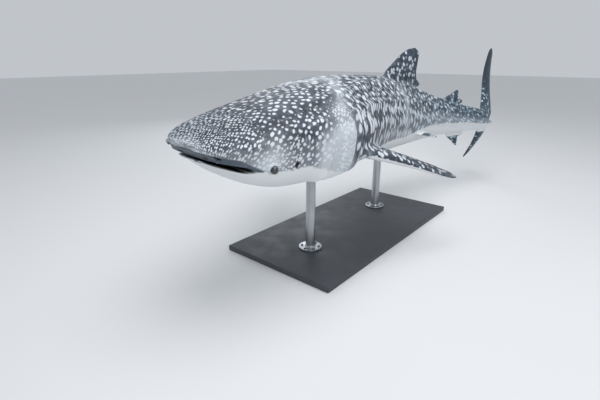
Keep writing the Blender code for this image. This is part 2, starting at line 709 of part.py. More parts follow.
def make_stand():
    length, width, height = BASE_SIZE
    centre = np.mean([settle((s, 0, 0))[0] for s in ROD_STATIONS], axis=0)
    spots = [(a, b, c) for c in (0, 1) for a, b in ((-0.5, -0.5), (0.5, -0.5), (0.5, 0.5), (-0.5, 0.5))]
    points = [(centre[0] + a * length, centre[1] + b * width, c * height) for a, b, c in spots]
    faces = [(3, 2, 1, 0), (4, 5, 6, 7), (0, 1, 5, 4), (1, 2, 6, 5), (2, 3, 7, 6), (3, 0, 4, 7)]
    base = make_object("stand_base", points, faces, PLATE_BLACK, 0.5)
    bevel = base.modifiers.new("soft_edges", "BEVEL")
    bevel.width = BASE_BEVEL
    bevel.segments = 2
    for word, station in zip(("front", "rear"), ROD_STATIONS):
        belly = settle((station, 0, -belly_depth(station)))[0]
        foot = (belly[0], belly[1], height + GAP)
        shape = cylinder("stand_rod_" + word, foot, belly[2] + ROD_SINK, ROD_RADIUS)
        rod = make_object(*shape, STEEL_GREY, 0.35, 1.0)
        combine(rod, "UNION", [helper(*cylinder("flange", foot, foot[2] + FLANGE_HEIGHT, FLANGE_RADIUS))])
        combine(rod, "DIFFERENCE", [body_cutter("body")])


def centre_on_origin():
    """Moves everything so that the middle of the underside of the whole is at the origin."""
    corners = []
    for node in bpy.context.scene.objects:
        corners += [node.matrix_world @ v.co for v in node.data.vertices]
    spot = np.array(corners)
    middle = (spot.min(axis=0) + spot.max(axis=0)) / 2
    for node in bpy.context.scene.objects:
        for corner in node.data.vertices:
            corner.co.x -= middle[0]
            corner.co.y -= middle[1]


def main():
    for old in list(bpy.data.objects):
        bpy.data.objects.remove(old)
    make_body()
    make_middle_fins()
    make_tail_fin()
    for word, mirror in (("left", 1), ("right", -1)):
        make_pectoral(word, mirror)
        make_pelvic(word, mirror)
    make_stand()
    centre_on_origin()


main()
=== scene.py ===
# %% [markdown]
# A life-size model of a young whale shark on a display stand.
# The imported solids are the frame: they give the place and size of everything. One smooth skin takes the
# place of all the nodes of flesh, so that no seam shows, and the eyes and the stand are pieces of their own.

import json
import math

import bmesh
import bpy
import numpy as np
from mathutils import Matrix, Vector, kdtree

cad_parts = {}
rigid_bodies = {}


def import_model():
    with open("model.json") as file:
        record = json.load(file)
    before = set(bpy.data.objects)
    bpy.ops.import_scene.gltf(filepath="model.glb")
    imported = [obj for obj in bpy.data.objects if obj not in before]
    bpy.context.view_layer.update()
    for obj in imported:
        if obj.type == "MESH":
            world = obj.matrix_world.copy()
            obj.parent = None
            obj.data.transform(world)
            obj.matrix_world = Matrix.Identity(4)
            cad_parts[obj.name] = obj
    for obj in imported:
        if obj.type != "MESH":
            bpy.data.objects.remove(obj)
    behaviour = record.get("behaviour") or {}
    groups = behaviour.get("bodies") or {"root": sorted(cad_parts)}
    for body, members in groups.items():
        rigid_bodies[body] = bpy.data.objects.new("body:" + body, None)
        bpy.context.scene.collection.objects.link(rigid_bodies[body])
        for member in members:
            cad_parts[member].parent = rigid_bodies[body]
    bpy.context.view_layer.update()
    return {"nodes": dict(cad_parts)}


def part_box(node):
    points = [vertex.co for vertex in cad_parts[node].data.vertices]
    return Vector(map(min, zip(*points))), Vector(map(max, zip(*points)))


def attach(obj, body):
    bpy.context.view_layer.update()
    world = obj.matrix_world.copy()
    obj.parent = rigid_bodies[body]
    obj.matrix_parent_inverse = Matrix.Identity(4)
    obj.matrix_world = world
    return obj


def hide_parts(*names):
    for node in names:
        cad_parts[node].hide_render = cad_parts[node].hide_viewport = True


for thing in list(bpy.data.objects):
    bpy.data.objects.remove(thing)
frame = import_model()
print("nodes in the frame:", len(frame["nodes"]))

# %% [markdown]
# The shark is modelled straight, as if it lay along a ruler, and bent only at the end. A place on it is
# (station, side, height): how far it is from the snout, how far to the animal's left and how high above the
# backbone, all as fractions of the total length. The patterns of the skin are laid out on the straight
# body too, so they bend with it as real skin does.

# %% Length and pose
TOTAL_LENGTH = 6.0
SNOUT_HEIGHT = 1.22
NOSE_UP = 4.4
LEFT_SIDE_DOWN = 3.6
HEADING_STATIONS = (0.05, 0.25, 0.50, 0.72, 0.80, 0.84)
HEADINGS = (1.9, 8.6, -7.1, -22.9, -4.0, -2.0)
ROD_STATIONS = (0.225, 0.450)


def smooth(stations, values):
    """A curve through the values that never swings past them."""
    x = np.array(stations, float)
    y = np.array(values, float)
    step = np.diff(x)
    slope = np.diff(y) / step
    tangent = np.zeros_like(y)
    tangent[0], tangent[-1] = slope[0], slope[-1]
    for i in range(1, len(x) - 1):
        if slope[i - 1] * slope[i] > 0:
            near = 2 * step[i] + step[i - 1]
            far = step[i] + 2 * step[i - 1]
            tangent[i] = (near + far) / (near / slope[i - 1] + far / slope[i])

    def at(where):
        where = np.clip(where, x[0], x[-1])
        i = np.clip(np.searchsorted(x, where, side="right") - 1, 0, len(step) - 1)
        t = (where - x[i]) / step[i]
        rise = y[i] * (1 + 2 * t) * (1 - t) ** 2 + y[i + 1] * t * t * (3 - 2 * t)
        return rise + step[i] * (tangent[i] * t * (1 - t) ** 2 + tangent[i + 1] * t * t * (t - 1))

    return at


def walk_backbone():
    """Points and headings along the backbone, found by walking it in short steps."""
    stations = np.linspace(0, 1, 401)
    heading = np.radians(smooth(HEADING_STATIONS, HEADINGS)(stations))
    ahead = np.stack([np.cos(heading), np.sin(heading)], 1)
    walked = np.cumsum((ahead[1:] + ahead[:-1]) / 2 * stations[1], axis=0)
    return stations, heading, np.vstack([[0, 0], walked])


BACKBONE = walk_backbone()


def bend(places):
    """Metres, before the move to the frame's origin, for an array of (station, side, height)."""
    places = np.atleast_2d(np.array(places, float))
    stations, headings, line = BACKBONE
    heading = np.interp(places[:, 0], stations, headings)
    x = np.interp(places[:, 0], stations, line[:, 0]) + np.minimum(places[:, 0], 0)
    y = np.interp(places[:, 0], stations, line[:, 1])
    roll = math.radians(LEFT_SIDE_DOWN)
    side = places[:, 1] * math.cos(roll) + places[:, 2] * math.sin(roll)
    up = places[:, 2] * math.cos(roll) - places[:, 1] * math.sin(roll)
    x = x + side * np.sin(heading)
    y = y - side * np.cos(heading)
    level, rise = math.cos(math.radians(NOSE_UP)), math.sin(math.radians(NOSE_UP))
    tilted = np.stack([x * level + up * rise, y, up * level - x * rise], 1)
    return tilted * TOTAL_LENGTH + np.array([0, 0, SNOUT_HEIGHT])


BASE_LOW, BASE_HIGH = (np.array(corner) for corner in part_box("stand_base"))
ROD_MIDDLE = bend([(s, 0, 0) for s in ROD_STATIONS]).mean(axis=0)
ORIGIN_SHIFT = ((BASE_LOW + BASE_HIGH) / 2 - ROD_MIDDLE) * (1, 1, 0)


def settle(places):
    """Metres in the frame for an array of (station, side, height)."""
    return bend(places) + ORIGIN_SHIFT


print("tip of the snout:", settle((0, 0, 0))[0].round(3))

# %% [markdown]
# A whale shark's head is broad and flat, like a shovel, and its body turns from that box into a deep
# teardrop and at last into a flat stalk with a keel on each side. A handful of curves tells how wide, high
# and square it is at each station. They are the same curves as in the solids, so the skin lies on them.

# %% Curves of the body
half_width = smooth(
    (0, 0.004, 0.012, 0.03, 0.06, 0.10, 0.15, 0.20, 0.25, 0.30, 0.40, 0.50, 0.60, 0.70, 0.775, 0.806),
    (0.017, 0.0315, 0.0440, 0.0570, 0.0665, 0.0745, 0.081, 0.084, 0.082, 0.078, 0.067, 0.053, 0.037,
     0.024, 0.015, 0.005),
)
back_height = smooth(
    (0, 0.02, 0.05, 0.10, 0.15, 0.20, 0.30, 0.40, 0.50, 0.60, 0.70, 0.775, 0.806),
    (0.0035, 0.0130, 0.0245, 0.0395, 0.0520, 0.0630, 0.0785, 0.0820, 0.0720, 0.053, 0.0356, 0.026, 0.022),
)
belly_depth = smooth(
    (0, 0.02, 0.05, 0.10, 0.15, 0.20, 0.26, 0.36, 0.45, 0.55, 0.65, 0.70, 0.775, 0.806),
    (0.010, 0.024, 0.038, 0.0505, 0.0520, 0.0475, 0.0455, 0.0465, 0.0435, 0.0355, 0.0255, 0.021, 0.016,
     0.012),
)
squareness = smooth((0, 0.05, 0.15, 0.30, 0.60, 0.80), (2.9, 2.7, 2.4, 2.2, 2.1, 2.0))
ridge_strength = smooth((0.06, 0.13, 0.25, 0.50, 0.66, 0.72), (0.0, 0.4, 1.0, 1.0, 0.6, 0.0))
keel_height = smooth(
    (0.10, 0.25, 0.45, 0.62, 0.74, 0.78, 0.806), (0.0, 0.0020, 0.0030, 0.0065, 0.0090, 0.0085, 0.003)
)
keel_angle = smooth((0.30, 0.55, 0.75), (13.0, 8.0, 2.0))

RIDGE_ANGLES = (63.0, 36.0)
RIDGE_HEIGHT = 0.0028
RIDGE_WIDTH = 6.0
KEEL_WIDTH = 7.5
CHIN_BACK = 0.013
CHIN_END = 0.06


def bump(angles, centre, width):
    return np.exp(-(((angles - centre) / width) ** 2))


def chin_shift(station, angles):
    """The lower jaw ends behind the upper one."""
    below = np.clip(-np.sin(np.radians(angles)), 0, 1)
    return CHIN_BACK * below * np.maximum(0.0, 1 - station / CHIN_END)


def outline(station, angles, relief=0.0):
    """The body at a station: angles in degrees, 90 on the back, 0 at the left side, -90 on the belly."""
    turn = np.radians(angles)
    lift, reach = np.sin(turn), np.cos(turn)
    power = 2 / squareness(station)
    tall = np.where(lift >= 0, back_height(station), belly_depth(station))
    for where in RIDGE_ANGLES:
        relief = relief + RIDGE_HEIGHT * ridge_strength(station) * bump(angles, where, RIDGE_WIDTH)
    relief = relief + keel_height(station) * bump(angles, keel_angle(station), KEEL_WIDTH)
    side = half_width(station) * np.maximum(reach, 0) ** power + relief * reach
    height = tall * np.sign(lift) * np.abs(lift) ** power + relief * lift
    return np.stack([station + chin_shift(station, angles), side, height], 1)


print("widest half width, metres:", round(float(half_width(0.20)) * TOTAL_LENGTH, 3))

# %% [markdown]
# Five gill slits open on each side, just ahead of the pectoral fin. On the animal each slit lies under the
# free edge of a flap of skin, and the dark gap shows behind that edge. A groove cut in the skin would look
# drawn on, so the rings of the loft are led over the flap, round its edge, back under it and down into the
# slit. The flaps stand out most at their lower ends.

# %% Rings over the gill flaps
GILL_FIRST = 0.1285
GILL_SPACING = 0.0142
GILL_COUNT = 5
GILL_LIFT = 0.0030
GILL_SINK = 0.0026
GILL_TOP, GILL_BOTTOM = 42.0, -50.0
GILL_FADE = 8.0
GILL_BOW = 0.0035
GILLS_END = 0.200
FLAP_REACH = 0.036
FLAP_OVERHANG = 0.0024
FLAP_STEPS = (0.22, 0.36, 0.50, 0.64, 0.76, 0.86)
SLIT_STEPS = (0.2, 0.4, 0.6, 0.8)
RIM_START, RIM_LENGTH = -0.0012, 0.0026
FLAP_RIM = (
    (-0.55, 0.97), (0.05, 1.00), (0.55, 0.96), (0.88, 0.80), (1.00, 0.52), (0.86, 0.24), (0.40, 0.02),
    (-0.15, -0.35), (-0.50, -0.80), (-0.45, -1.20), (0.00, -1.42), (0.55, -1.35), (1.00, -1.12),
)


def gill_window(angles):
    """How much of the flaps there is round the body: none on the back and the belly."""
    top = np.clip((GILL_TOP - angles) / GILL_FADE, 0, 1)
    bottom = np.clip((angles - GILL_BOTTOM) / GILL_FADE, 0, 1)
    return np.sin(top * math.pi / 2) ** 2 * np.sin(bottom * math.pi / 2) ** 2


def gill_rings():
    """(station, lift, shift) for each ring from the first flap to behind the last slit."""
    rings = []
    for i in range(GILL_COUNT):
        edge = GILL_FIRST + i * GILL_SPACING
        start = 0.0 if i == 0 else -GILL_SINK
        for t in FLAP_STEPS:
            rings.append((edge - GILL_SPACING * (1 - t), start + (GILL_LIFT - start) * t, 0.0))
        for k, (over, rise) in enumerate(FLAP_RIM):
            base = edge + RIM_START + RIM_LENGTH * k / (len(FLAP_RIM) - 1)
            lift = GILL_LIFT * rise if rise > 0 else GILL_SINK * rise
            rings.append((base, lift, edge + FLAP_OVERHANG * over - base))
    for t in SLIT_STEPS:
        rings.append((edge + GILL_SPACING * 0.6 * (0.1 + t), -GILL_SINK * (1 - t), 0.0))
    return rings


print("rings over the gills:", len(gill_rings()))

# %% [markdown]
# The finished skin is to be painted onto one flat map. An automatic unwrap would cut so long a body into
# many scraps, so the room is shared out in given places: a band for each half of the body, and below the top
# edge a few shelves with a patch for each face of a fin, lip or lid. The head gets more room than the tail.

# %% Room on the bake map
BAKE_MAP = "OFBake"
BODY_AREAS = ((0.004, 0.004, 0.992, 0.342), (0.004, 0.355, 0.992, 0.342))
SHELVES = [[0.987, 0.011, 0.004], [0.915, 0.068, 0.004], [0.836, 0.075, 0.004], [0.706, 0.126, 0.004]]
SHELF_GAP = 0.005
BAKE_SCALE = 0.2

bake_share = smooth((0.0, 0.03, 0.15, 0.30, 0.80), (2.6, 2.1, 1.5, 1.0, 0.8))


def claim_area(width, height):
    """The next free place, on the lowest shelf of the map that takes a patch of this size in metres."""
    width, height = width * BAKE_SCALE, height * BAKE_SCALE
    shelf = next(s for s in SHELVES if s[1] >= height and s[2] + width < 1)
    area = (shelf[2], shelf[0], width, height)
    shelf[2] += width + SHELF_GAP
    return area


def claim_pair(width, height):
    """A place for each half of a loft."""
    return [claim_area(width, height), claim_area(width, height)]


print("room for each half of the body on the map:", BODY_AREAS[0][2:])

# %% [markdown]
# The trunk is a loft: rings of points, one behind the other, joined by quads. It could be sculpted from a
# ball, but a loft from the curves is even, keeps to the solids and gives every point a station and an angle.
# The nose and the stalk are closed by a few shrinking rings, so that they end round and not in a flat cap.

# %% Loft of the body
RING_HALF = 76
HALF_ANGLES = np.linspace(90, -90, RING_HALF + 1)
HEAD_END = 0.1125
TRUNK_START = 0.197
STALK_END = 0.806
HEAD_RINGS, TRUNK_RINGS = 92, 172
HEAD_CROWDING = 1.5
BOW_CENTRE, BOW_REACH = -4, 50
BOW_START, BOW_FADE = 0.01, 0.04
FLARE_RISE, FLARE_ANGLE, FLARE_WIDTH = 1.1, -30, 14
END_SHRINK = (0.18, 0.42, 0.62, 0.78, 0.90, 0.97)
NOSE_DEPTH, STALK_DEPTH = -0.0022, 0.004


def whole_ring(half):
    """Adds the right side to the left side's points."""
    return np.vstack([half, half[-2:0:-1] * (1, -1, 1)])


def closing_rings(end, depth):
    """Rings from the middle of an end of the body out to its edge, rounded off to this depth."""
    middle = end.mean(axis=0) * (1, 0, 1)
    rings = [middle + (end - middle) * size for size in END_SHRINK]
    for ring, size in zip(rings, END_SHRINK):
        ring[:, 0] += depth * math.sqrt(1 - size**2)
    return rings


def body_rings():
    """All the rings: the nose, the head, the bowed gill flaps with their lower flare, the trunk, the end."""
    rings = closing_rings(outline(0.0, HALF_ANGLES), NOSE_DEPTH)
    for station in HEAD_END * np.linspace(0, 1, HEAD_RINGS) ** HEAD_CROWDING:
        rings.append(outline(station, HALF_ANGLES))
    window = gill_window(HALF_ANGLES)
    bow = GILL_BOW * window * (1 - ((HALF_ANGLES - BOW_CENTRE) / BOW_REACH) ** 2)
    lower_flare = 1 + FLARE_RISE * bump(HALF_ANGLES, FLARE_ANGLE, FLARE_WIDTH)
    for station, lift, shift in gill_rings():
        flare = lower_flare if lift > 0 else 1
        ring = outline(station, HALF_ANGLES, relief=lift * window * flare)
        ring[:, 0] += shift * window + bow * np.clip((station - HEAD_END) / BOW_START, 0, 1)
        rings.append(ring)
    for station in np.linspace(TRUNK_START, STALK_END, TRUNK_RINGS):
        ring = outline(station, HALF_ANGLES)
        ring[:, 0] += bow * max(0.0, 1 - (station - TRUNK_START) / BOW_FADE)
        rings.append(ring)
    rings += closing_rings(outline(STALK_END, HALF_ANGLES), STALK_DEPTH)[::-1]
    return [whole_ring(ring) for ring in rings]


def read_numbers(items, field, width, kind=np.float32):
    """A field of a mesh's points, edges or corners, as rows of this many numbers."""
    values = np.empty(len(items) * width, kind)
    items.foreach_get(field, values)
    return values.reshape(-1, width)


def straight_mesh(name, points, faces, charts):
    """An object in straight metres, its faces turned outwards, with its own place on the bake map."""
    mesh = bpy.data.meshes.new(name)
    mesh.from_pydata((np.array(points) * TOTAL_LENGTH).tolist(), [], faces)
    layer = mesh.uv_layers.new(name=BAKE_MAP)
    layer.data.foreach_set("uv", np.array(charts, np.float32).ravel())
    shape = bmesh.new()
    shape.from_mesh(mesh)
    bmesh.ops.recalc_face_normals(shape, faces=shape.faces[:])
    if shape.calc_volume(signed=True) < 0:
        bmesh.ops.reverse_faces(shape, faces=shape.faces[:])
    shape.to_mesh(mesh)
    shape.free()
    thing = bpy.data.objects.new(name, mesh)
    bpy.context.collection.objects.link(thing)
    return thing


def loft(name, rings, areas, mirrored=False):
    """A closed skin over rings of equally many points, laid on the bake map half by half.

    areas holds the corner, width and height of each half's place on the map. A mirrored half
    runs the same way as the first, so that both sides of the body read alike.
    """
    count = len(rings[0])
    half = count // 2
    points = np.vstack(rings + [rings[0].mean(axis=0)[None], rings[-1].mean(axis=0)[None]])
    stack = np.array(rings) * TOTAL_LENGTH
    along = np.linalg.norm(np.diff(stack, axis=0), axis=2).mean(axis=1)
    along = along * bake_share(stack[1:, :, 0].mean(axis=1) / TOTAL_LENGTH) if mirrored else along
    u = np.concatenate([[0], np.cumsum(along)]) / along.sum()
    across = np.linalg.norm(np.diff(stack[:, : half + 1], axis=1), axis=2)
    arcs = np.concatenate([np.zeros((len(rings), 1)), np.cumsum(across, axis=1)], axis=1)
    v = arcs / arcs.max() if mirrored else arcs / arcs[:, -1:]

    def chart(row, column, side):
        corner_u, corner_v, width, height = areas[side]
        step = column if side == 0 else (count - column if mirrored else column - half)
        return (corner_u + width * u[row], corner_v + height * v[row, step])

    faces, charts = [], []
    for row in range(len(rings) - 1):
        for i in range(count):
            j = (i + 1) % count
            a, side = row * count, int(i >= half)
            faces.append((a + i, a + j, a + count + j, a + count + i))
            charts += [chart(row, i, side), chart(row, i + 1, side)]
            charts += [chart(row + 1, i + 1, side), chart(row + 1, i, side)]
    last = len(rings) - 1
    for i in range(count):
        j, side = (i + 1) % count, int(i >= half)
        faces.append((len(points) - 2, j, i))
        charts += [chart(0, i, side), chart(0, i + 1, side), chart(0, i, side)]
        faces.append((len(points) - 1, last * count + i, last * count + j))
        charts += [chart(last, i, side), chart(last, i, side), chart(last, i + 1, side)]
    return straight_mesh(name, points, faces, charts)


skin = loft("skin", body_rings(), BODY_AREAS, mirrored=True)
print("body faces:", len(skin.data.polygons))

# %% [markdown]
# A fin is a blade: thick and round in front, thin behind. Its section is the same at every height, scaled by
# three curves that say where it begins, where it ends and how thick it is. Each fin starts well inside the
# body and is joined by a Boolean union.

# %% Fins
ROW_COUNT = 40
CHORD_COUNT = 24
CAP_SHARE = 0.16
TIP_CROWDING = 1.35
TIP_ROUND = (0.30, 0.55, 0.75, 0.90, 0.98)


def blade_swell(share):
    """The half thickness along a section, 1 at its thickest, which is three tenths back."""
    curve = 2.969 * np.sqrt(share) - 1.26 * share - 3.516 * share**2 + 2.843 * share**3 - 1.036 * share**4
    return np.maximum(curve, 0)


def fin(name, span, edges, place, patch):
    """A closed blade over heights from span[0] to its tip at span[1], rounded off at the tip.

    patch is the width and height in metres that each of its two faces gets on the bake map.
    """
    front, rear, half = (smooth(*edge) for edge in edges)
    share = (1 - np.cos(np.linspace(0, math.pi, CHORD_COUNT))) / 2
    swell = blade_swell(share)
    swell[-1] = 0
    cap = (float(rear(span[1])) - float(front(span[1]))) * CAP_SHARE * np.sign(span[1] - span[0])
    t = np.linspace(0, 1, ROW_COUNT)
    heights = span[0] + (span[1] - cap - span[0]) * (1 - (1 - t) ** TIP_CROWDING)
    rows = [(h, float(front(h)), float(rear(h)), float(half(h))) for h in heights]
    height, start, end, thick = rows[-1]
    for k in TIP_ROUND:
        left = math.sqrt(1 - k * k)
        middle = start + (end - start) * (0.5 + 0.25 * k)
        front_end, rear_end = middle - (middle - start) * left, middle + (end - middle) * left
        rows.append((height + cap * k, front_end, rear_end, thick * left))
    rings = []
    for height, start, end, thick in rows:
        chord = start + (end - start) * share
        upper = [place(c, w * thick, height) for c, w in zip(chord, swell)]
        lower = [place(c, -w * thick, height) for c, w in zip(chord, swell)]
        rings.append(np.array(upper + lower[-2:0:-1]))
    return loft(name, rings, claim_pair(*patch))


def upright(chord, out, height):
    return (chord, out, height)


FIRST_DORSAL = (
    (
        (0.050, 0.072, 0.094, 0.112, 0.124, 0.132, 0.1360),
        (0.390, 0.413, 0.4390, 0.463, 0.480, 0.496, 0.5140),
    ),
    (
        (0.050, 0.066, 0.073, 0.082, 0.100, 0.118, 0.129, 0.1360),
        (0.518, 0.542, 0.554, 0.5400, 0.5345, 0.5345, 0.5330, 0.5200),
    ),
    ((0.050, 0.08, 0.12, 0.1360), (0.0085, 0.0065, 0.0036, 0.0012)),
)
SECOND_DORSAL = (
    ((0.032, 0.048, 0.059, 0.066), (0.620, 0.639, 0.660, 0.672)),
    ((0.032, 0.044, 0.050, 0.060, 0.066), (0.684, 0.696, 0.683, 0.679, 0.677)),
    ((0.032, 0.055, 0.066), (0.0045, 0.0030, 0.0010)),
)
ANAL_FIN = (
    ((-0.053, -0.042, -0.028, -0.010), (0.701, 0.685, 0.662, 0.648)),
    ((-0.053, -0.046, -0.034, -0.026, -0.010), (0.706, 0.7045, 0.7035, 0.718, 0.700)),
    ((-0.053, -0.030, -0.010), (0.0010, 0.0028, 0.0042)),
)


def make_middle_fins():
    """The two fins on the back and the one under the stalk."""
    return [
        fin("first_dorsal", (0.050, 0.1360), FIRST_DORSAL, upright, (0.62, 0.62)),
        fin("second_dorsal", (0.032, 0.066), SECOND_DORSAL, upright, (0.28, 0.36)),
        fin("anal", (-0.010, -0.053), ANAL_FIN, upright, (0.30, 0.32)),
    ]


LOBE_SPLIT = 0.0110
LOBE_OVERLAP = 0.006
UPPER_BOW, UPPER_TRAIL, LOWER_TRAIL = 0.007, 0.074, 0.047
UPPER_FROM, UPPER_REACH = 0.02, 0.16
LOWER_FROM, LOWER_REACH = 0.01, 0.090


def lagging(chord, out, height):
    """The tail fin's plane, whose two tips trail behind its stroke."""
    raised = np.clip((height - UPPER_FROM) / UPPER_REACH, 0, 1)
    lowered = np.clip((-height - LOWER_FROM) / LOWER_REACH, 0, 1.1)
    behind = UPPER_BOW * math.sin(math.pi * raised) + UPPER_TRAIL * raised + LOWER_TRAIL * lowered**1.3
    return (chord, out - behind, height)


UPPER_LOBE = (
    (
        (0.011, 0.024, 0.050, 0.100, 0.140, 0.161, 0.169),
        (0.764, 0.770, 0.797, 0.848, 0.894, 0.920, 0.936),
    ),
    (
        (0.011, 0.024, 0.040, 0.070, 0.108, 0.140, 0.161, 0.169),
        (0.824, 0.830, 0.845, 0.872, 0.905, 0.931, 0.946, 0.946),
    ),
    ((0.011, 0.05, 0.12, 0.169), (0.0082, 0.0062, 0.0038, 0.0012)),
)
LOWER_LOBE = (
    (
        (-0.100, -0.093, -0.064, -0.034, -0.014, 0.011),
        (0.844, 0.835, 0.810, 0.787, 0.772, 0.764),
    ),
    (
        (-0.100, -0.095, -0.068, -0.038, -0.010, 0.011),
        (0.852, 0.852, 0.840, 0.828, 0.822, 0.824),
    ),
    ((-0.100, -0.055, -0.02, 0.011), (0.0012, 0.0045, 0.0070, 0.0082)),
)


def make_tail_fin():
    return [
        fin("upper_lobe", (LOBE_SPLIT - LOBE_OVERLAP, 0.169), UPPER_LOBE, lagging, (1.30, 0.36)),
        fin("lower_lobe", (LOBE_SPLIT + LOBE_OVERLAP, -0.100), LOWER_LOBE, lagging, (0.80, 0.34)),
    ]


def hang(root, drop, out, height):
    """Side and height of a point on a fin that hangs down by this angle from its root."""
    side = root[0] + height * math.cos(drop) + out * math.sin(drop)
    return side, root[1] - height * math.sin(drop) + out * math.cos(drop)


PECTORAL_REACH = 0.1200
PECTORAL_ROOT = (0.052, -0.0048)
PECTORAL_DROP = 15.0
PECTORAL_TWIST = 2.5
PECTORAL_SAG = 0.018
PECTORAL_MIDDLE, PECTORAL_SWEEP = 0.232, 0.158
PECTORAL = (
    (
        (-0.004, 0.022, 0.045, 0.070, 0.095, 0.112, 0.120),
        (0.180, 0.191, 0.223, 0.267, 0.315, 0.352, 0.381),
    ),
    (
        (-0.004, 0.022, 0.034, 0.052, 0.075, 0.097, 0.112, 0.120),
        (0.272, 0.280, 0.291, 0.315, 0.351, 0.386, 0.404, 0.405),
    ),
    ((-0.004, 0.03, 0.07, 0.10, 0.12), (0.0108, 0.0083, 0.0058, 0.0036, 0.0015)),
)


def make_pectoral(mirror):
    drop = math.radians(PECTORAL_DROP)

    def place(chord, out, height):
        share = max(height, 0.0) / PECTORAL_REACH
        twist = math.radians(PECTORAL_TWIST) * (0.4 + 0.6 * min(1.0, share * 2.4))
        behind = chord - PECTORAL_MIDDLE - PECTORAL_SWEEP * share**1.5
        side, up = hang(PECTORAL_ROOT, drop, out, height)
        up = up - PECTORAL_SAG * share**2 - behind * math.sin(twist)
        return (chord + out * math.sin(twist), mirror * side, up)

    return fin("pectoral", (-0.004, PECTORAL_REACH), PECTORAL, place, (0.78, 0.58))


PELVIC_REACH = 0.0500
PELVIC_ROOT = (0.028, -0.0065)
PELVIC_DROP = 9.0
PELVIC = (
    ((0.0, 0.018, 0.036, 0.050), (0.456, 0.470, 0.493, 0.516)),
    ((0.0, 0.018, 0.030, 0.040, 0.050), (0.508, 0.522, 0.527, 0.522, 0.524)),
    ((0.0, 0.025, 0.050), (0.0055, 0.0035, 0.0010)),
)


def make_pelvic(mirror):
    drop = math.radians(PELVIC_DROP)

    def place(chord, out, height):
        side, up = hang(PELVIC_ROOT, drop, out, height)
        return (chord, mirror * side, up)

    return fin("pelvic", (0.0, PELVIC_REACH), PELVIC, place, (0.32, 0.34))


fins = make_middle_fins() + make_tail_fin()
for mirror in (1, -1):
    fins += [make_pectoral(mirror), make_pelvic(mirror)]
print("fins:", len(fins))

# %% [markdown]
# The mouth opens at the very front and is nearly as wide as the head. Round lips roll along both sides of
# the slit, the nostrils sit over the upper lip with a short barbel each, and the small eye bulges between
# its lids just behind the corner of the mouth. Lips, lids and barbels are joined on; the slit, the nostrils,
# the eye sockets and the spiracles are cut away after that, so that every opening is a real hollow.

# %% Places on the head
MOUTH_CORNER = (0.0405, -0.0175)
MOUTH_FRONT_HEIGHT = -0.0120
SLIT_START = -0.03
SLIT_HALF_WIDTH = 0.12
LIP_REACH = 0.0430
LIP_COUNT = 46
LIP_RADIUS = 0.0024
LIP_SINK = 0.0007
LIP_GAP = 0.0009
EYE_PLACE = (0.0555, -14.5)
NOSTRIL_PLACE = (0.0065, -14.0)
SPIRACLE_PLACE = (0.084, -10.0)
EYE_RADIUS = 0.025
EYE_SINK = 0.62
LID_SHARE, SOCKET_SHARE = 1.12, 1.01
LID_THICKNESS = 0.011
LID_SINK = 0.004
SPIRACLE_RADII = (0.018, 0.022, 0.020)
NOSTRIL_RADII, NOSTRIL_RISE = (0.026, 0.010, 0.014), 0.004
BARBEL_RADII, BARBEL_DROP = (0.010, 0.024, 0.010), 0.018

mouth_opening = smooth(
    (-0.03, 0.0, 0.016, 0.028, 0.036, 0.0405), (0.0036, 0.0042, 0.0056, 0.0058, 0.0036, 0.0002)
)


def mouth_height(station):
    share = np.clip(np.asarray(station, float) / MOUTH_CORNER[0], 0, 1)
    return MOUTH_FRONT_HEIGHT + (MOUTH_CORNER[1] - MOUTH_FRONT_HEIGHT) * share**1.6


def skin_side(station, height):
    """How far out the skin lies at a height below the backbone."""
    power = squareness(station)
    share = np.clip(-height / belly_depth(station), 0, 0.999)
    return half_width(station) * (1 - share**power) ** (1 / power)


def lip(above):
    """A roll along the slit, from one corner of the mouth round the front to the other."""
    line = []
    for station in LIP_REACH * np.linspace(1, 0.12, LIP_COUNT) ** 1.6:
        height = mouth_height(station) + above * (mouth_opening(station) / 2 + LIP_GAP)
        chin = CHIN_BACK * min(1.0, -height / belly_depth(station)) * max(0.0, 1 - station / CHIN_END)
        line.append((station + chin, skin_side(station, height) - LIP_SINK, height))
    path = np.array(line + [(s, -side, h) for s, side, h in line[::-1]])
    turns = np.radians(np.arange(0, 360, 22.5))[:, None]
    rings = []
    for i, here in enumerate(path):
        along = path[min(i + 1, len(path) - 1)] - path[max(i - 1, 0)]
        out = np.cross(along, (0, 0, 1.0))
        out = out / np.linalg.norm(out)
        up = np.cross(out, along / np.linalg.norm(along))
        taper = min(1.0, 0.25 + 0.09 * min(i, len(path) - 1 - i))
        rings.append(here + LIP_RADIUS * taper * (np.cos(turns) * out + np.sin(turns) * up))
    return loft("lip", rings, claim_pair(0.9, 0.045))


def mouth_slit():
    """A wedge through the whole front of the head, thin at the corners of the mouth."""
    stations = np.concatenate([[SLIT_START], np.linspace(-0.004, MOUTH_CORNER[0], 16)])
    rings = []
    for side in np.linspace(-SLIT_HALF_WIDTH, SLIT_HALF_WIDTH, 3):
        top = [(s, side, mouth_height(s) + mouth_opening(s) / 2) for s in stations]
        bottom = [(s, side, mouth_height(s) - mouth_opening(s) / 2) for s in stations[::-1]]
        rings.append(np.array(top + bottom))
    return loft("slit", rings, claim_pair(0.3, 0.25))


def on_skin(station, angle, side):
    """A point of the straight skin in metres, with its outward, rearward and upward directions."""
    mirror = np.array((1, side, 1))
    here, back, over = (
        outline(s, np.array([a]))[0] * mirror * TOTAL_LENGTH
        for s, a in ((station, angle), (station + 0.004, angle), (station, angle + 3.0))
    )
    back, over = back - here, over - here
    out = np.cross(back, over) * side
    out = out / np.linalg.norm(out)
    back = back / np.linalg.norm(back)
    return here, out, back, np.cross(out, back)


def turned(back, up, out, centre):
    """A matrix that turns a primitive's own axes onto these three and puts it at the centre."""
    grid = Matrix.Identity(4)
    for column, axis in enumerate((back, up, out, centre)):
        for row in range(3):
            grid[row][column] = axis[row]
    return grid


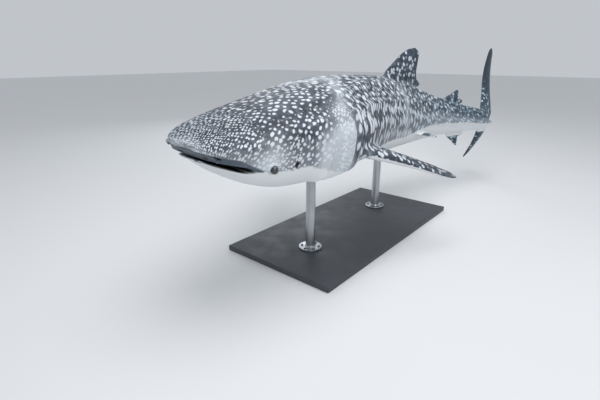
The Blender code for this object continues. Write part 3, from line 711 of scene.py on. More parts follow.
def clear_selection():
    if bpy.context.object and bpy.context.object.mode != "OBJECT":
        bpy.ops.object.mode_set(mode="OBJECT")
    bpy.ops.object.select_all(action="DESELECT")


def select_only(thing):
    clear_selection()
    thing.select_set(True)
    bpy.context.view_layer.objects.active = thing


def bead(name, centre, radii, axes, segments=32, rings=20):
    """A ball stretched along its own three axes."""
    clear_selection()
    bpy.ops.mesh.primitive_uv_sphere_add(segments=segments, ring_count=rings, radius=1)
    thing = bpy.context.object
    thing.name = name
    back, up, out = axes
    thing.data.transform(turned(back * radii[0], up * radii[1], out * radii[2], centre))
    lay_on_map(thing, claim_area(3 * max(radii), 2 * max(radii)))
    return thing


def lay_on_map(thing, area):
    """Moves a primitive's own unwrap to its place on the bake map."""
    layer = thing.data.uv_layers[0]
    layer.name = BAKE_MAP
    corners = np.clip(read_numbers(layer.data, "uv", 2), 0, 1) * area[2:] + area[:2]
    layer.data.foreach_set("uv", corners.astype(np.float32).ravel())


def eye_axes(side):
    """The point of the skin over the eye, the ball's centre, and its rearward, upward and outward axes."""
    here, out, back, up = on_skin(*EYE_PLACE, side)
    return here, here - out * EYE_RADIUS * EYE_SINK, (back, up / np.linalg.norm(up), out)


def face_pieces(side):
    """One side of the face: what is joined to the skin, and what is cut from it."""
    here, centre, axes = eye_axes(side)
    clear_selection()
    bpy.ops.mesh.primitive_torus_add(
        major_radius=EYE_RADIUS * LID_SHARE, minor_radius=LID_THICKNESS, major_segments=48, minor_segments=16
    )
    lids = bpy.context.object
    lids.data.transform(turned(*axes, here - axes[2] * LID_SINK))
    lay_on_map(lids, claim_area(0.22, 0.08))
    socket = bead("socket", centre, [EYE_RADIUS * SOCKET_SHARE] * 3, axes, 48, 32)
    here, out, back, up = on_skin(*SPIRACLE_PLACE, side)
    spiracle = bead("spiracle", here, SPIRACLE_RADII, (back, up, out))
    here, out, back, up = on_skin(*NOSTRIL_PLACE, side)
    nostril = bead("nostril", here + up * NOSTRIL_RISE, NOSTRIL_RADII, (back, up, out))
    barbel = bead("barbel", here - up * BARBEL_DROP, BARBEL_RADII, (back, up, out))
    return [lids, barbel], [socket, spiracle, nostril]


joined, cut = fins + [lip(1), lip(-1)], [mouth_slit()]
for side in (1, -1):
    more_joined, more_cut = face_pieces(side)
    joined += more_joined
    cut += more_cut
print("shapes joined on:", len(joined), "and cut away:", len(cut))

# %% [markdown]
# One union joins fins, lips and lids to the body and one difference opens the mouth and the sockets. The
# MANIFOLD solver is made for closed meshes like these and takes a second where the exact one takes minutes.


# %% Join and cut
def combine(body, operation, tools):
    """Applies one Boolean with a collection of closed shapes, and removes them."""
    group = bpy.data.collections.new(operation)
    bpy.context.scene.collection.children.link(group)
    for tool in tools:
        bpy.context.collection.objects.unlink(tool)
        group.objects.link(tool)
    select_only(body)
    change = body.modifiers.new("change", "BOOLEAN")
    change.operation = operation
    change.operand_type = "COLLECTION"
    change.collection = group
    change.solver = "MANIFOLD"
    bpy.ops.object.modifier_apply(modifier=change.name)
    for tool in tools:
        bpy.data.objects.remove(tool)
    bpy.data.collections.remove(group)


combine(skin, "UNION", joined)
combine(skin, "DIFFERENCE", cut)
print("skin after the cuts:", len(skin.data.vertices), "points,", len(skin.data.polygons), "faces")

# %% [markdown]
# The Booleans made new points, and none of the old ones says where on the animal it lies. So every point is
# measured against the plain body: its station, its angle, the way to it along the skin and round the skin,
# and how far it stands out. The softening and the markings both work from these numbers.

# %% Measure every point against the plain body
SEEN_COUNT = 300
SEEN_RINGS = STALK_END * np.linspace(0, 1, SEEN_COUNT) ** HEAD_CROWDING
DEGREE_COUNT = 181
SEEN_ANGLES = np.linspace(90, -90, DEGREE_COUNT)


def measure_skin():
    """Metres round from the middle of the back and metres back from the snout, by station and angle."""
    grid = np.array([outline(station, SEEN_ANGLES) for station in SEEN_RINGS]) * TOTAL_LENGTH
    round_steps = np.linalg.norm(np.diff(grid[:, :, 1:], axis=1), axis=2)
    back_steps = np.linalg.norm(np.diff(grid, axis=0), axis=2)
    around = np.concatenate([np.zeros((SEEN_COUNT, 1)), np.cumsum(round_steps, axis=1)], axis=1)
    along = np.concatenate([np.zeros((1, DEGREE_COUNT)), np.cumsum(back_steps, axis=0)], axis=0)
    return around, along


AROUND, ALONG = measure_skin()


def read_points(thing):
    return read_numbers(thing.data.vertices, "co", 3).astype(float)


def write_points(thing, points):
    thing.data.vertices.foreach_set("co", np.ascontiguousarray(points, np.float32).ravel())
    thing.data.update()


def find_places(points):
    """Station and angle, and in metres the way from the snout, round from the back and out of the body."""
    x, side, height = points.T / TOTAL_LENGTH
    station = x.copy()
    for _ in range(4):
        power = squareness(station) / 2
        tall = np.where(height >= 0, back_height(station), belly_depth(station))
        lift = np.sign(height) * (np.abs(height) / tall) ** power
        reach = (np.abs(side) / half_width(station)) ** power
        angle = np.degrees(np.arctan2(lift, reach))
        below = CHIN_BACK * np.clip(-np.sin(np.radians(angle)), 0, 1)
        station = np.where(x < CHIN_END, (x - below) / (1 - below / CHIN_END), x)
    station = np.clip(station, 0, 1)
    ring = outline(station, angle)
    over = (np.hypot(side, height) - np.hypot(ring[:, 1], ring[:, 2])) * TOTAL_LENGTH
    row = (np.clip(station, 0, STALK_END) / STALK_END) ** (1 / HEAD_CROWDING) * (SEEN_COUNT - 1)
    column = 90 - angle
    i = np.minimum(row.astype(int), SEEN_COUNT - 2)
    j = np.minimum(column.astype(int), DEGREE_COUNT - 2)
    a, b = row - i, column - j

    def look_up(table):
        near = table[i, j] * (1 - b) + table[i, j + 1] * b
        return near * (1 - a) + (table[i + 1, j] * (1 - b) + table[i + 1, j + 1] * b) * a

    along = look_up(ALONG) + np.maximum(station - STALK_END, 0) * TOTAL_LENGTH
    return station, angle, along, look_up(AROUND), over


print("from the back to the belly at the gills, metres:", AROUND[SEEN_COUNT // 3, -1].round(3))

# %% [markdown]
# Real fins grow out of the body in a soft hollow curve, and a Boolean leaves a hard line there. So the line
# is found by its angle, and the points near it are drawn towards the middle of their neighbours, strongly
# on the line and less and less away from it. The rims of the mouth are softened in the same way, but only
# a little, and the gill flaps keep their edges.

# %% Soften the roots of the fins and the lips
CREASE_ANGLE = 25
ROOT_SOFTNESS = 0.045
HEAD_SOFTNESS = 0.016
RIM_SOFTNESS = 0.009
ROOT_PULL, ROOT_ROUNDS = 0.6, 14
RIM_PULL, RIM_ROUNDS = 0.5, 5
MOUTH_END = 0.05
MOUTH_DEPTH = 0.002


def between(value, low, high):
    """0 below low, 1 above high and a soft step in between. high may be the smaller one."""
    t = np.clip((value - low) / (high - low), 0, 1)
    return t * t * (3 - 2 * t)


def creases(thing):
    """Points on hollow and on raised lines that are sharp enough to show."""
    shape = bmesh.new()
    shape.from_mesh(thing.data)
    hollow, raised = set(), set()
    for edge in shape.edges:
        if len(edge.link_faces) == 2:
            angle = edge.calc_face_angle_signed(0)
            if abs(angle) > math.radians(CREASE_ANGLE):
                (raised if angle > 0 else hollow).update(v.index for v in edge.verts)
    shape.free()
    return hollow, raised


def near_to(points, marked, reach):
    """1 on the marked points, falling to 0 at the reach."""
    tree = kdtree.KDTree(len(marked))
    for i in marked:
        tree.insert(points[i], i)
    tree.balance()
    return np.array([1 - min(1.0, tree.find(p)[2] / reach) for p in points])


def soften(thing, points, weight, rounds):
    """Draws points towards the middle of their neighbours, by their weight."""
    a, b = read_numbers(thing.data.edges, "vertices", 2, np.int32).T
    ends, others = np.concatenate([a, b]), np.concatenate([b, a])
    count = np.bincount(ends, minlength=len(points))
    for _ in range(rounds):
        total = np.stack([np.bincount(ends, points[others, k]) for k in range(3)], 1)
        points = points + (total / count[:, None] - points) * weight[:, None]
    return points


points = read_points(skin)
station, angle, along, arc, over = find_places(points)
on_gills = (station > HEAD_END) & (station < GILLS_END) & (over < FLAP_REACH)
on_gills = on_gills & (angle > GILL_BOTTOM - 3) & (angle < GILL_TOP)
hollow, raised = creases(skin)
at_mouth = station < MOUTH_END
roots = [i for i in hollow if not on_gills[i] and not (at_mouth[i] and over[i] < MOUTH_DEPTH)]
weight = near_to(points, roots, ROOT_SOFTNESS)
weight = np.where(station < HEAD_END, near_to(points, roots, HEAD_SOFTNESS), weight) * ~on_gills
points = soften(skin, points, ROOT_PULL * weight, ROOT_ROUNDS)
rims = [i for i in raised if at_mouth[i]]
points = soften(skin, points, RIM_PULL * near_to(points, rims, RIM_SOFTNESS), RIM_ROUNDS)
write_points(skin, points)
print("points on root lines:", len(roots), "and on rims:", len(rims))

# %% [markdown]
# The markings are what everyone knows a whale shark by: pale dots on slate blue, tiny and crowded on the
# snout, larger and oval on the shoulders, drawn out into upright streaks along the trunk, with a white
# belly. A painter of museum models would lay them out by region. Here each point of the skin carries that
# plan as attributes: how much of each kind of mark grows there, and how pale the ground is. The shader only
# draws the marks. Two sets of coordinates are stored too: the straight body in metres, for the mottling and
# the flecks on the fins, and the skin unrolled from the middle of the back, for the dots, rows and streaks.

# %% Plan of the markings
belly_edge = smooth(
    (0.0, 0.02, 0.035, 0.05, 0.07, 0.10, 0.12, 0.145, 0.17, 0.20, 0.225, 0.26, 0.35, 0.42, 0.50, 0.56,
     0.65, 0.75, 0.80),
    (-5, -6, -14, -19, -15, -12, -16, -24, -32, -37, -26, -12, -9, -12, -2, 4, 6, 3, -4),
)
FIN_RISE = (0.034, 0.075)
GILL_SPAN = (0.110, 0.203)
SKIN_DEPTH, FLAP_DEPTH, DEPTH_FADE = 0.004, 0.0165, 0.005


def window(value, *edges):
    """Up over the first two edges and down over the last two."""
    return between(value, edges[0], edges[1]) * between(value, edges[3], edges[2])


def plan_tones(station, angle, along, arc, over, on_fin):
    """How white the belly is, how pale the ground is, and where the skin turns inwards and takes painted
    shade.

    Each patch stands at its metres along from the snout and round from the middle of the back.
    """
    edge = belly_edge(station)
    belly = between(angle, edge + 5, edge - 9)
    low = between(angle, edge + 34, edge)
    cheek = bump(along, 0.44, 0.11) * bump(arc, 0.51, 0.10)
    gill = between(arc, 0.44, 0.62) * between(along, 0.76, 0.92) * between(along, 1.26, 1.18)
    haze = 0.55 * bump(along, 1.10, 0.14) * bump(arc, 0.50, 0.13)
    bar = 0.50 * bump(along - 0.95 * (0.42 - arc), 1.14, 0.09) * between(arc, 0.50, 0.38)
    far_bar = 0.45 * bump(along, 2.66, 0.08) * between(arc, 0.15, 0.35)
    snout = 0.45 * between(along, 0.10, 0.0)
    pale = 0.30 * low + 0.95 * cheek + gill + haze + bar + far_bar + snout
    shut = np.where((station > GILL_SPAN[0]) & (station < GILL_SPAN[1]), FLAP_DEPTH, SKIN_DEPTH)
    # Painted shade: the skin goes dark where it turns inwards, in the mouth, the nostrils and the gill
    # slits.
    recess_shade = between(-over, shut, shut + DEPTH_FADE) * between(along, 0.02, 0.05)
    return belly * (1 - on_fin), np.clip(pale, 0, 1) * (1 - on_fin), recess_shade


def plan_markings(points, normals):
    """The attributes of the skin, each an array of three numbers a point."""
    station, angle, along, arc, over = find_places(points)
    side = np.sign(points[:, 1])
    on_gills = (station > GILL_SPAN[0]) & (station < GILL_SPAN[1]) & (over < FLAP_REACH)
    on_fin = between(over, *FIN_RISE) * ~on_gills
    flat_fin = on_fin * between(np.abs(points[:, 1]), 0.02, 0.10) * (station < 0.60)
    # Painted shade: the tail fin is darkened all over, and most of its flecks are left out.
    tail = on_fin * between(station, 0.80, 0.86)
    belly, pale, recess_shade = plan_tones(station, angle, along, arc, over, on_fin)
    height = points[:, 2] / TOTAL_LENGTH
    above_slit = height > mouth_height(station)
    # The unspotted grey lip band above the slit; its darkness is partly painted shade under the rim of the
    # snout.
    on_lip = between(angle, belly_edge(station) + 1.5, belly_edge(station) - 1.5) * above_slit
    on_lip = on_lip * between(station, 0.052, 0.042) * (1 - on_fin)
    belly = np.where(above_slit, belly * (1 - between(station, 0.054, 0.040)), belly)
    belly = np.where((station < 0.045) & ~above_slit, 1.0, belly)
    belly = np.maximum(belly, flat_fin * between(-normals[:, 2], -0.1, 0.4))
    bare = (1 - on_fin) * (1 - on_lip)
    upper, lower = between(arc, 0.34, 0.26), between(arc, 0.26, 0.34)
    tiny = between(along, 0.27, 0.17) * bare
    at_cheek = between(arc, 0.39, 0.46) * window(along, 0.22, 0.28, 0.62, 0.72)
    at_gills = window(along, 0.98, 1.06, 1.16, 1.26) * window(arc, 0.30, 0.38, 0.9, 1.0)
    fine = np.maximum(np.maximum(window(along, 0.16, 0.26, 0.36, 0.46), at_cheek), at_gills) * bare
    low_edge = 0.45 + 0.25 * between(along, 0.55, 0.70)
    middle = window(along, 0.36, 0.46, 0.94, 1.04) * lower * between(arc - low_edge, 0.04, -0.04)
    middle = np.maximum(middle, window(along, 0.37, 0.46, 0.50, 0.60) * upper) * bare
    large = window(along, 0.50, 0.62, 1.20, 1.36) * upper * bare
    trunk = between(along, 1.14, 1.30)
    rear = between(along, 4.6, 3.6)
    rounds = trunk * between(arc, 0.62, 0.40) * bare * (0.7 + 0.3 * rear)
    streaks = trunk * between(arc, 0.34, 0.52) * bare * (0.7 + 0.3 * rear)
    lines = between(along, 0.62, 0.80) * window(arc, 0.30, 0.36, 0.54, 0.62) * between(along, 1.05, 0.95)
    lines = np.maximum(0.8 * lines, trunk * 0.9) * bare
    flecks = on_fin * (1 - 0.85 * tail)
    front, rear_edge = (smooth(*edge)(height) for edge in UPPER_LOBE[:2])
    share = (station - front) / (rear_edge - front)
    tail_edge = tail * between(share, 0.70, 0.92) * (height > UPPER_FROM)
    return {
        "straight": points,
        "unrolled": np.stack([along, side * (arc + np.maximum(over, 0)), side], 1),
        "small_dots": np.stack([tiny, fine, middle], 1),
        "large_dots": np.stack([large, rounds, flecks], 1),
        "streaks": np.stack([streaks, lines, tail_edge], 1),
        "tones": np.stack([belly, pale, recess_shade], 1),
        "parts": np.stack([on_fin, on_lip, tail], 1),
    }


def store(thing, name, values):
    layer = thing.data.attributes.new(name, "FLOAT_VECTOR", "POINT")
    layer.data.foreach_set("vector", np.ascontiguousarray(values, np.float32).ravel())


normals = read_numbers(skin.data.vertex_normals, "vector", 3)
for name, values in plan_markings(read_points(skin), normals).items():
    store(skin, name, values)
print("attributes:", [a.name for a in skin.data.attributes if a.data_type == "FLOAT_VECTOR"])

# %% [markdown]
# Now the straight shark is bent into its pose: nose a little up, the left side a little down, and the tail
# in the middle of a stroke. Every point simply takes the place that its station gives it.


# %% Bend the skin into its pose
def take_pose(thing):
    write_points(thing, settle(read_points(thing) / TOTAL_LENGTH))
    thing.data.shade_smooth()


take_pose(skin)
posed = read_points(skin)
print("skin from", posed.min(axis=0).round(3), "to", posed.max(axis=0).round(3))

# %% [markdown]
# Materials are built from nodes. A few helpers keep that short: one adds a node and fills its sockets with
# values or links, the others do sums. Effects that come back, such as a field of spots, become node groups.


# %% Helpers for nodes
def feed(tree, node, inputs):
    """Fills a node's sockets, each with a value or from the output socket of another node."""
    for name, value in inputs.items():
        if isinstance(value, bpy.types.NodeSocket):
            tree.links.new(value, node.inputs[name])
        else:
            node.inputs[name].default_value = value


def add(tree, kind, inputs=None, **settings):
    """Adds a node with these settings and fills its sockets."""
    node = tree.nodes.new(kind)
    for name, value in settings.items():
        setattr(node, name, value)
    feed(tree, node, inputs or {})
    return node


def sums(tree, operation, *values, clamp=False):
    inputs = dict(enumerate(values))
    return add(tree, "ShaderNodeMath", inputs, operation=operation, use_clamp=clamp).outputs[0]


def vectors(tree, operation, *values):
    return add(tree, "ShaderNodeVectorMath", dict(enumerate(values)), operation=operation).outputs[0]


def blend(tree, share, first, second):
    """A colour that goes from the first to the second as the share goes from 0 to 1."""
    return add(tree, "ShaderNodeMix", {0: share, 6: first, 7: second}, data_type="RGBA").outputs[2]


def remap(tree, value, low, high, to_low=0.0, to_high=1.0):
    inputs = {"Value": value, "From Min": low, "From Max": high, "To Min": to_low, "To Max": to_high}
    return add(tree, "ShaderNodeMapRange", inputs, interpolation_type="SMOOTHSTEP").outputs[0]


def noise(tree, place, scale, detail, **more):
    """A cloudy pattern of values round a half."""
    inputs = {"Vector": place, "Scale": scale, "Detail": detail, **more}
    return add(tree, "ShaderNodeTexNoise", inputs).outputs[0]


def stored(tree, name):
    """Three numbers that were stored on the points of a piece."""
    node = add(tree, "ShaderNodeAttribute", attribute_name=name, attribute_type="GEOMETRY")
    return node.outputs["Vector"]


def split(tree, vector):
    return add(tree, "ShaderNodeSeparateXYZ", {0: vector}).outputs


def bumps(tree, height, strength, depth):
    """Fine relief of this depth in metres, for a shader's Normal."""
    inputs = {"Height": height, "Strength": strength, "Distance": depth}
    return add(tree, "ShaderNodeBump", inputs).outputs[0]


def paint(red, green, blue):
    """A colour given as it looks on a screen, 0 to 255, as the linear values that a shader takes."""
    shares = (c / 255 for c in (red, green, blue))
    return tuple(s / 12.92 if s <= 0.04045 else ((s + 0.055) / 1.055) ** 2.4 for s in shares) + (1.0,)


def new_group(name, inputs, outputs):
    """A node group with named sockets, and its input and output nodes."""
    tree = bpy.data.node_groups.new(name, "ShaderNodeTree")
    for label, kind, value in inputs:
        socket = tree.interface.new_socket(name=label, in_out="INPUT", socket_type="NodeSocket" + kind)
        if value is not None:
            socket.default_value = value
    for label, kind in outputs:
        tree.interface.new_socket(name=label, in_out="OUTPUT", socket_type="NodeSocket" + kind)
    return tree, tree.nodes.new("NodeGroupInput").outputs, tree.nodes.new("NodeGroupOutput").inputs


def new_material(name):
    material = bpy.data.materials.new(name)
    material.use_nodes = True
    tree = material.node_tree
    return material, tree, tree.nodes["Principled BSDF"]


def finish_piece(thing, material, slot, *nodes):
    """Gives a piece its material and its body, and hides the solids that it stands for. The slot is not
    used.
    """
    thing.data.materials.clear()
    thing.data.materials.append(material)
    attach(thing, "root")
    if nodes:
        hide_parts(*nodes)


print("helpers ready; middle slate is", [round(c, 3) for c in paint(60, 70, 84)])

# %% [markdown]
# A field of spots is a Voronoi pattern: the distance to the nearest of many scattered points. Where it is
# smaller than a radius there is a spot. Each cell draws its own radius, a slow noise pushes the outlines
# about, and a weight makes the spots shrink away where their kind ends, so that no border shows.


# %% Node group for spots
RADIUS_LEAST, RADIUS_SPREAD = 0.68, 0.6
DRIFT_SCALE = 0.9
EDGE_FADE = 4.0


def make_spots(name, flat):
    """Spots over a plane, or through space, in cells of size 1."""
    tree, given, result = new_group(
        name,
        (("Place", "Vector", None), ("Radius", "Float", 0.3), ("Softness", "Float", 0.12),
         ("Weight", "Float", 1.0), ("Evenness", "Float", 0.8), ("Wander", "Float", 0.25)),
        (("Spot", "Float"),),
    )
    drift = add(tree, "ShaderNodeTexNoise", {"Vector": given["Place"], "Scale": DRIFT_SCALE, "Detail": 1.0})
    drift = vectors(tree, "SUBTRACT", drift.outputs["Color"], (0.5, 0.5, 0.5))
    push = add(tree, "ShaderNodeVectorMath", {0: drift, "Scale": given["Wander"]}, operation="SCALE")
    place = vectors(tree, "ADD", given["Place"], push.outputs[0])
    cells = add(
        tree, "ShaderNodeTexVoronoi", {"Vector": place, "Scale": 1.0, "Randomness": given["Evenness"]},
        voronoi_dimensions="2D" if flat else "3D",
    )
    chance = add(tree, "ShaderNodeSeparateColor", {"Color": cells.outputs["Color"]}).outputs[0]
    own = sums(tree, "MULTIPLY_ADD", chance, RADIUS_SPREAD, RADIUS_LEAST)
    radius = sums(tree, "MULTIPLY", sums(tree, "MULTIPLY", given["Radius"], own), given["Weight"])
    inside = sums(tree, "SUBTRACT", radius, cells.outputs["Distance"])
    spot = sums(tree, "ADD", sums(tree, "DIVIDE", inside, given["Softness"]), 0.5, clamp=True)
    there = sums(tree, "MULTIPLY", given["Weight"], EDGE_FADE, clamp=True)
    tree.links.new(sums(tree, "MULTIPLY", spot, there), result["Spot"])
    return tree


ROUND_SPOTS = make_spots("spots_in_space", flat=False)
ROW_SPOTS = make_spots("spots_in_rows", flat=True)


def spots(tree, group, place, **values):
    """A layer of spots, with the group's inputs given by their names in small letters."""
    inputs = {"Place": place} | {name.title(): value for name, value in values.items()}
    return add(tree, "ShaderNodeGroup", inputs, node_tree=group).outputs["Spot"]


SPOT_INPUTS = [item.name for item in ROW_SPOTS.interface.items_tree if item.in_out == "INPUT"]
print("inputs of a layer of spots:", SPOT_INPUTS)

# %% [markdown]
# Shark skin is covered with tiny teeth, so it has a dull, even gloss like fine sandpaper, with long soft
# folds that catch the light. The grain is too fine to model and goes into a bump.


# %% Node group for the grain of the skin
def make_grain():
    tree, given, result = new_group(
        "skin_grain", (("Place", "Vector", None),), (("Height", "Float"), ("Fold", "Float"))
    )
    fine = noise(tree, given["Place"], 420.0, 2.0)
    soft = noise(tree, given["Place"], 34.0, 4.0)
    fold = noise(tree, vectors(tree, "MULTIPLY", given["Place"], (6.0, 26.0, 26.0)), 1.0, 3.0)
    height = sums(tree, "MULTIPLY_ADD", fine, 0.10, sums(tree, "MULTIPLY", soft, 0.35))
    height = sums(tree, "MULTIPLY_ADD", fold, 0.55, height)
    tree.links.new(height, result["Height"])
    tree.links.new(fold, result["Fold"])
    return tree


SKIN_GRAIN = make_grain()
print("nodes in the grain:", len(SKIN_GRAIN.nodes))

# %% [markdown]
# The colour of the skin is laid on in coats, as a painter would: a mottled slate ground that turns bluer
# towards the tail, then the pale places, the dots and streaks, the tail fin darkened with painted shade, the
# white belly with its ragged edge, and the unspotted grey lips with painted shade under the rim of the
# snout. Last comes painted shade in the hollows: the inside of the mouth, the nostrils and the gill slits.

# %% Material of the skin
SLATE_DARK = paint(32, 41, 53)
SLATE_MID = paint(60, 70, 84)
SLATE_PALE = paint(196, 202, 209)
DEEP_BLUE = paint(38, 68, 86)
DOT_WHITE = paint(216, 223, 231)
DOT_BLUE = paint(150, 184, 202)
TAIL_SHADE_DARK = paint(30, 44, 58)
BELLY_WHITE = paint(220, 224, 226)
LIP_GREY_SHADED_DARK = paint(46, 56, 70)
LIP_GREY_SHADED_PALE = paint(92, 104, 118)
RECESS_SHADE_DARK = paint(12, 16, 22)


def make_skin_material():
    material, tree, shader = new_material("whale_shark_skin")
    straight, unrolled = stored(tree, "straight"), stored(tree, "unrolled")
    tiny, fine, middle = split(tree, stored(tree, "small_dots"))
    large, rounds, flecks = split(tree, stored(tree, "large_dots"))
    streaks, thin_lines, tail_edge = split(tree, stored(tree, "streaks"))
    belly, pale, recess_shade = split(tree, stored(tree, "tones"))
    lip_share, tail_shade_share = split(tree, stored(tree, "parts"))[1:]
    mottle = noise(tree, straight, 5.5, 5.0, Roughness=0.6)
    clouds = noise(tree, straight, 22.0, 4.0)
    ground = blend(tree, remap(tree, mottle, 0.32, 0.70), SLATE_DARK, SLATE_MID)
    ground = blend(tree, remap(tree, clouds, 0.45, 0.75, 0.0, 0.16), ground, SLATE_PALE)
    along = split(tree, straight)[0]
    ground = blend(tree, remap(tree, along, 1.6, 5.2, 0.0, 0.55), ground, DEEP_BLUE)
    ground = blend(tree, sums(tree, "MULTIPLY", pale, 0.92), ground, SLATE_PALE)

    def cells(width, height, angle=0):
        """The unrolled skin in cells of this size, turned where the dots stand in diagonals."""
        across = vectors(tree, "DIVIDE", unrolled, (width, height, 1.0))
        if not angle:
            return across
        turn = (0, 0, math.radians(angle))
        return add(tree, "ShaderNodeMapping", {"Vector": across, "Rotation": turn}).outputs[0]

    swell = sums(tree, "MULTIPLY_ADD", pale, 0.20, 1.0)
    layers = []
    for place, weight, radius in (
        (cells(0.0200, 0.0185, 38), tiny, 0.29),
        (cells(0.0285, 0.0260, 41), fine, 0.29),
        (cells(0.0450, 0.0400, 36), middle, 0.28),
        (cells(0.0620, 0.0560, 43), large, 0.26),
        (cells(0.1050, 0.0850, 40), rounds, 0.23),
    ):
        size = sums(tree, "MULTIPLY", swell, radius)
        layers.append(spots(tree, ROW_SPOTS, place, radius=size, weight=weight, evenness=0.52, wander=0.75))
    for place, weight, radius, strength in (
        (cells(0.050, 0.120), streaks, 0.33, 1.0),
        (cells(0.046, 0.070), rounds, 0.24, 0.62),
    ):
        marks = spots(tree, ROW_SPOTS, place, radius=radius, weight=weight, evenness=0.6, wander=0.7)
        layers.append(sums(tree, "MULTIPLY", marks, strength))
    loose = vectors(tree, "DIVIDE", straight, (0.052, 0.060, 0.056))
    layers.append(spots(tree, ROUND_SPOTS, loose, radius=0.36, weight=flecks, evenness=0.75))
    lines = spots(
        tree, ROW_SPOTS, cells(0.040, 0.210),
        radius=0.18, softness=0.22, weight=thin_lines, evenness=0.9, wander=1.0,
    )
    layers.append(sums(tree, "MULTIPLY", lines, 0.45))
    total = layers[0]
    for layer in layers[1:]:
        total = sums(tree, "MAXIMUM", total, layer)
    fade = remap(tree, mottle, 0.25, 0.75, 0.74, 1.0)
    total = sums(tree, "MULTIPLY", total, fade)
    dot_colour = blend(tree, remap(tree, along, 1.8, 4.5, 0.0, 0.6), DOT_WHITE, DOT_BLUE)
    colour = blend(tree, total, ground, dot_colour)
    # Painted shade darkens the whole tail fin.
    colour = blend(tree, tail_shade_share, colour, TAIL_SHADE_DARK)
    colour = blend(tree, sums(tree, "MULTIPLY", tail_edge, 0.6), colour, DOT_BLUE)
    ragged = sums(tree, "MULTIPLY_ADD", sums(tree, "SUBTRACT", clouds, 0.5), 0.9, belly)
    colour = blend(tree, remap(tree, ragged, 0.30, 0.70), colour, BELLY_WHITE)
    # Lips: their own unspotted grey, made darker by painted shade under the rim of the snout.
    colour = blend(tree, lip_share, colour, blend(tree, clouds, LIP_GREY_SHADED_DARK, LIP_GREY_SHADED_PALE))
    # Painted shade in the hollows of the mouth, the nostrils and the gill slits.
    colour = blend(tree, recess_shade, colour, RECESS_SHADE_DARK)

    grain = add(tree, "ShaderNodeGroup", {"Place": straight}, node_tree=SKIN_GRAIN)
    rough = remap(tree, grain.outputs["Fold"], 0.2, 0.8, 0.52, 0.66)
    relief = bumps(tree, grain.outputs["Height"], 0.55, 0.004)
    feed(tree, shader, {"Base Color": colour, "Roughness": rough, "Normal": relief})
    feed(tree, shader, {"Coat Weight": 0.03, "Coat Roughness": 0.30})
    return material


FLESH = [name for name in frame["nodes"] if not name.startswith(("eye_", "stand_"))]
finish_piece(skin, make_skin_material(), "skin_back", *FLESH)
print("the skin stands for", len(FLESH), "nodes")

# %% [markdown]
# The eye is small for so large an animal: a dark ball with a round pupil and a thin grey-brown iris. It is
# modelled as a ball with a raised clear front. The colours follow the angle from the line of sight, which
# is stored on its points.


# %% Eyes
IRIS_EDGE = (0.80, 0.84)
PUPIL_EDGE = (0.925, 0.94)
IRIS_DARK, IRIS_PALE = paint(58, 52, 46), paint(124, 116, 104)
EYE_RIM = paint(30, 36, 44)
PUPIL_BLACK = paint(4, 5, 7)


def make_eye_material():
    material, tree, shader = new_material("eye_of_shark")
    gaze = stored(tree, "gaze")
    forward = split(tree, gaze)[2]
    iris = blend(tree, remap(tree, noise(tree, gaze, 9.0, 4.0), 0.35, 0.65), IRIS_DARK, IRIS_PALE)
    colour = blend(tree, remap(tree, forward, *IRIS_EDGE), EYE_RIM, iris)
    colour = blend(tree, remap(tree, forward, *PUPIL_EDGE), colour, PUPIL_BLACK)
    feed(tree, shader, {"Base Color": colour, "Roughness": 0.12, "Coat Weight": 1.0, "Coat Roughness": 0.03})
    return material


EYE_MATERIAL = make_eye_material()
CORNEA_RISE = 0.10
CORNEA_EDGE = 0.78


def make_eye(word, side):
    centre, axes = eye_axes(side)[1:]
    clear_selection()
    bpy.ops.mesh.primitive_uv_sphere_add(segments=48, ring_count=32, radius=1)
    eye = bpy.context.object
    eye.name = "eyeball_" + word
    points = read_points(eye)
    store(eye, "gaze", points)
    points[:, 2] += CORNEA_RISE * between(points[:, 2], CORNEA_EDGE, 1.0)
    write_points(eye, points)
    eye.data.transform(turned(*(axis * EYE_RADIUS for axis in axes), centre))
    if side < 0:
        eye.data.flip_normals()
    take_pose(eye)
    finish_piece(eye, EYE_MATERIAL, "eyes", "eye_" + word)
    return eye


for word, side in (("left", 1), ("right", -1)):
    eye = make_eye(word, side)
    print(eye.name, "at", read_points(eye).mean(axis=0).round(3))

# %% [markdown]
# Museums stand such a model on a heavy steel plate with two round posts. The plate is powder coated, and the
# posts are brushed and end in a rubber collar under the belly. Flange and plate are held by hex bolts. These
# are simple turned parts, so they start as primitives and are shaped by insets, extrusions and bevels.

# %% Shaping helpers for the stand
SHARP_ANGLE = 40
SMOOTH_ANGLE = 35


def bevel_all(thing, width, segments):
    """Rounds all sharp edges."""
    select_only(thing)
    change = thing.modifiers.new("rounding", "BEVEL")
    change.width = width
    change.segments = segments
    change.limit_method = "ANGLE"
    change.angle_limit = math.radians(SHARP_ANGLE)
    bpy.ops.object.modifier_apply(modifier=change.name)
    bpy.ops.object.shade_smooth_by_angle(angle=math.radians(SMOOTH_ANGLE))


def apply_place(thing):
    select_only(thing)
    bpy.ops.object.transform_apply(location=True, rotation=True, scale=True)


def pick_faces(thing, way):
    """Opens the mesh for editing, with only the faces selected that look up, or down where way is -1."""
    bpy.ops.object.mode_set(mode="EDIT")
    bpy.ops.mesh.select_all(action="DESELECT")
    shape = bmesh.from_edit_mesh(thing.data)
    for face in shape.faces:
        face.select = face.normal.z * way > 0.9
    bmesh.update_edit_mesh(thing.data)


def cylinder(name, sides, radius, depth, place):
    clear_selection()
    bpy.ops.mesh.primitive_cylinder_add(vertices=sides, radius=radius, depth=depth, location=place)
    thing = bpy.context.object
    thing.name = name
    return thing


print("edges sharper than", SHARP_ANGLE, "degrees get rounded")

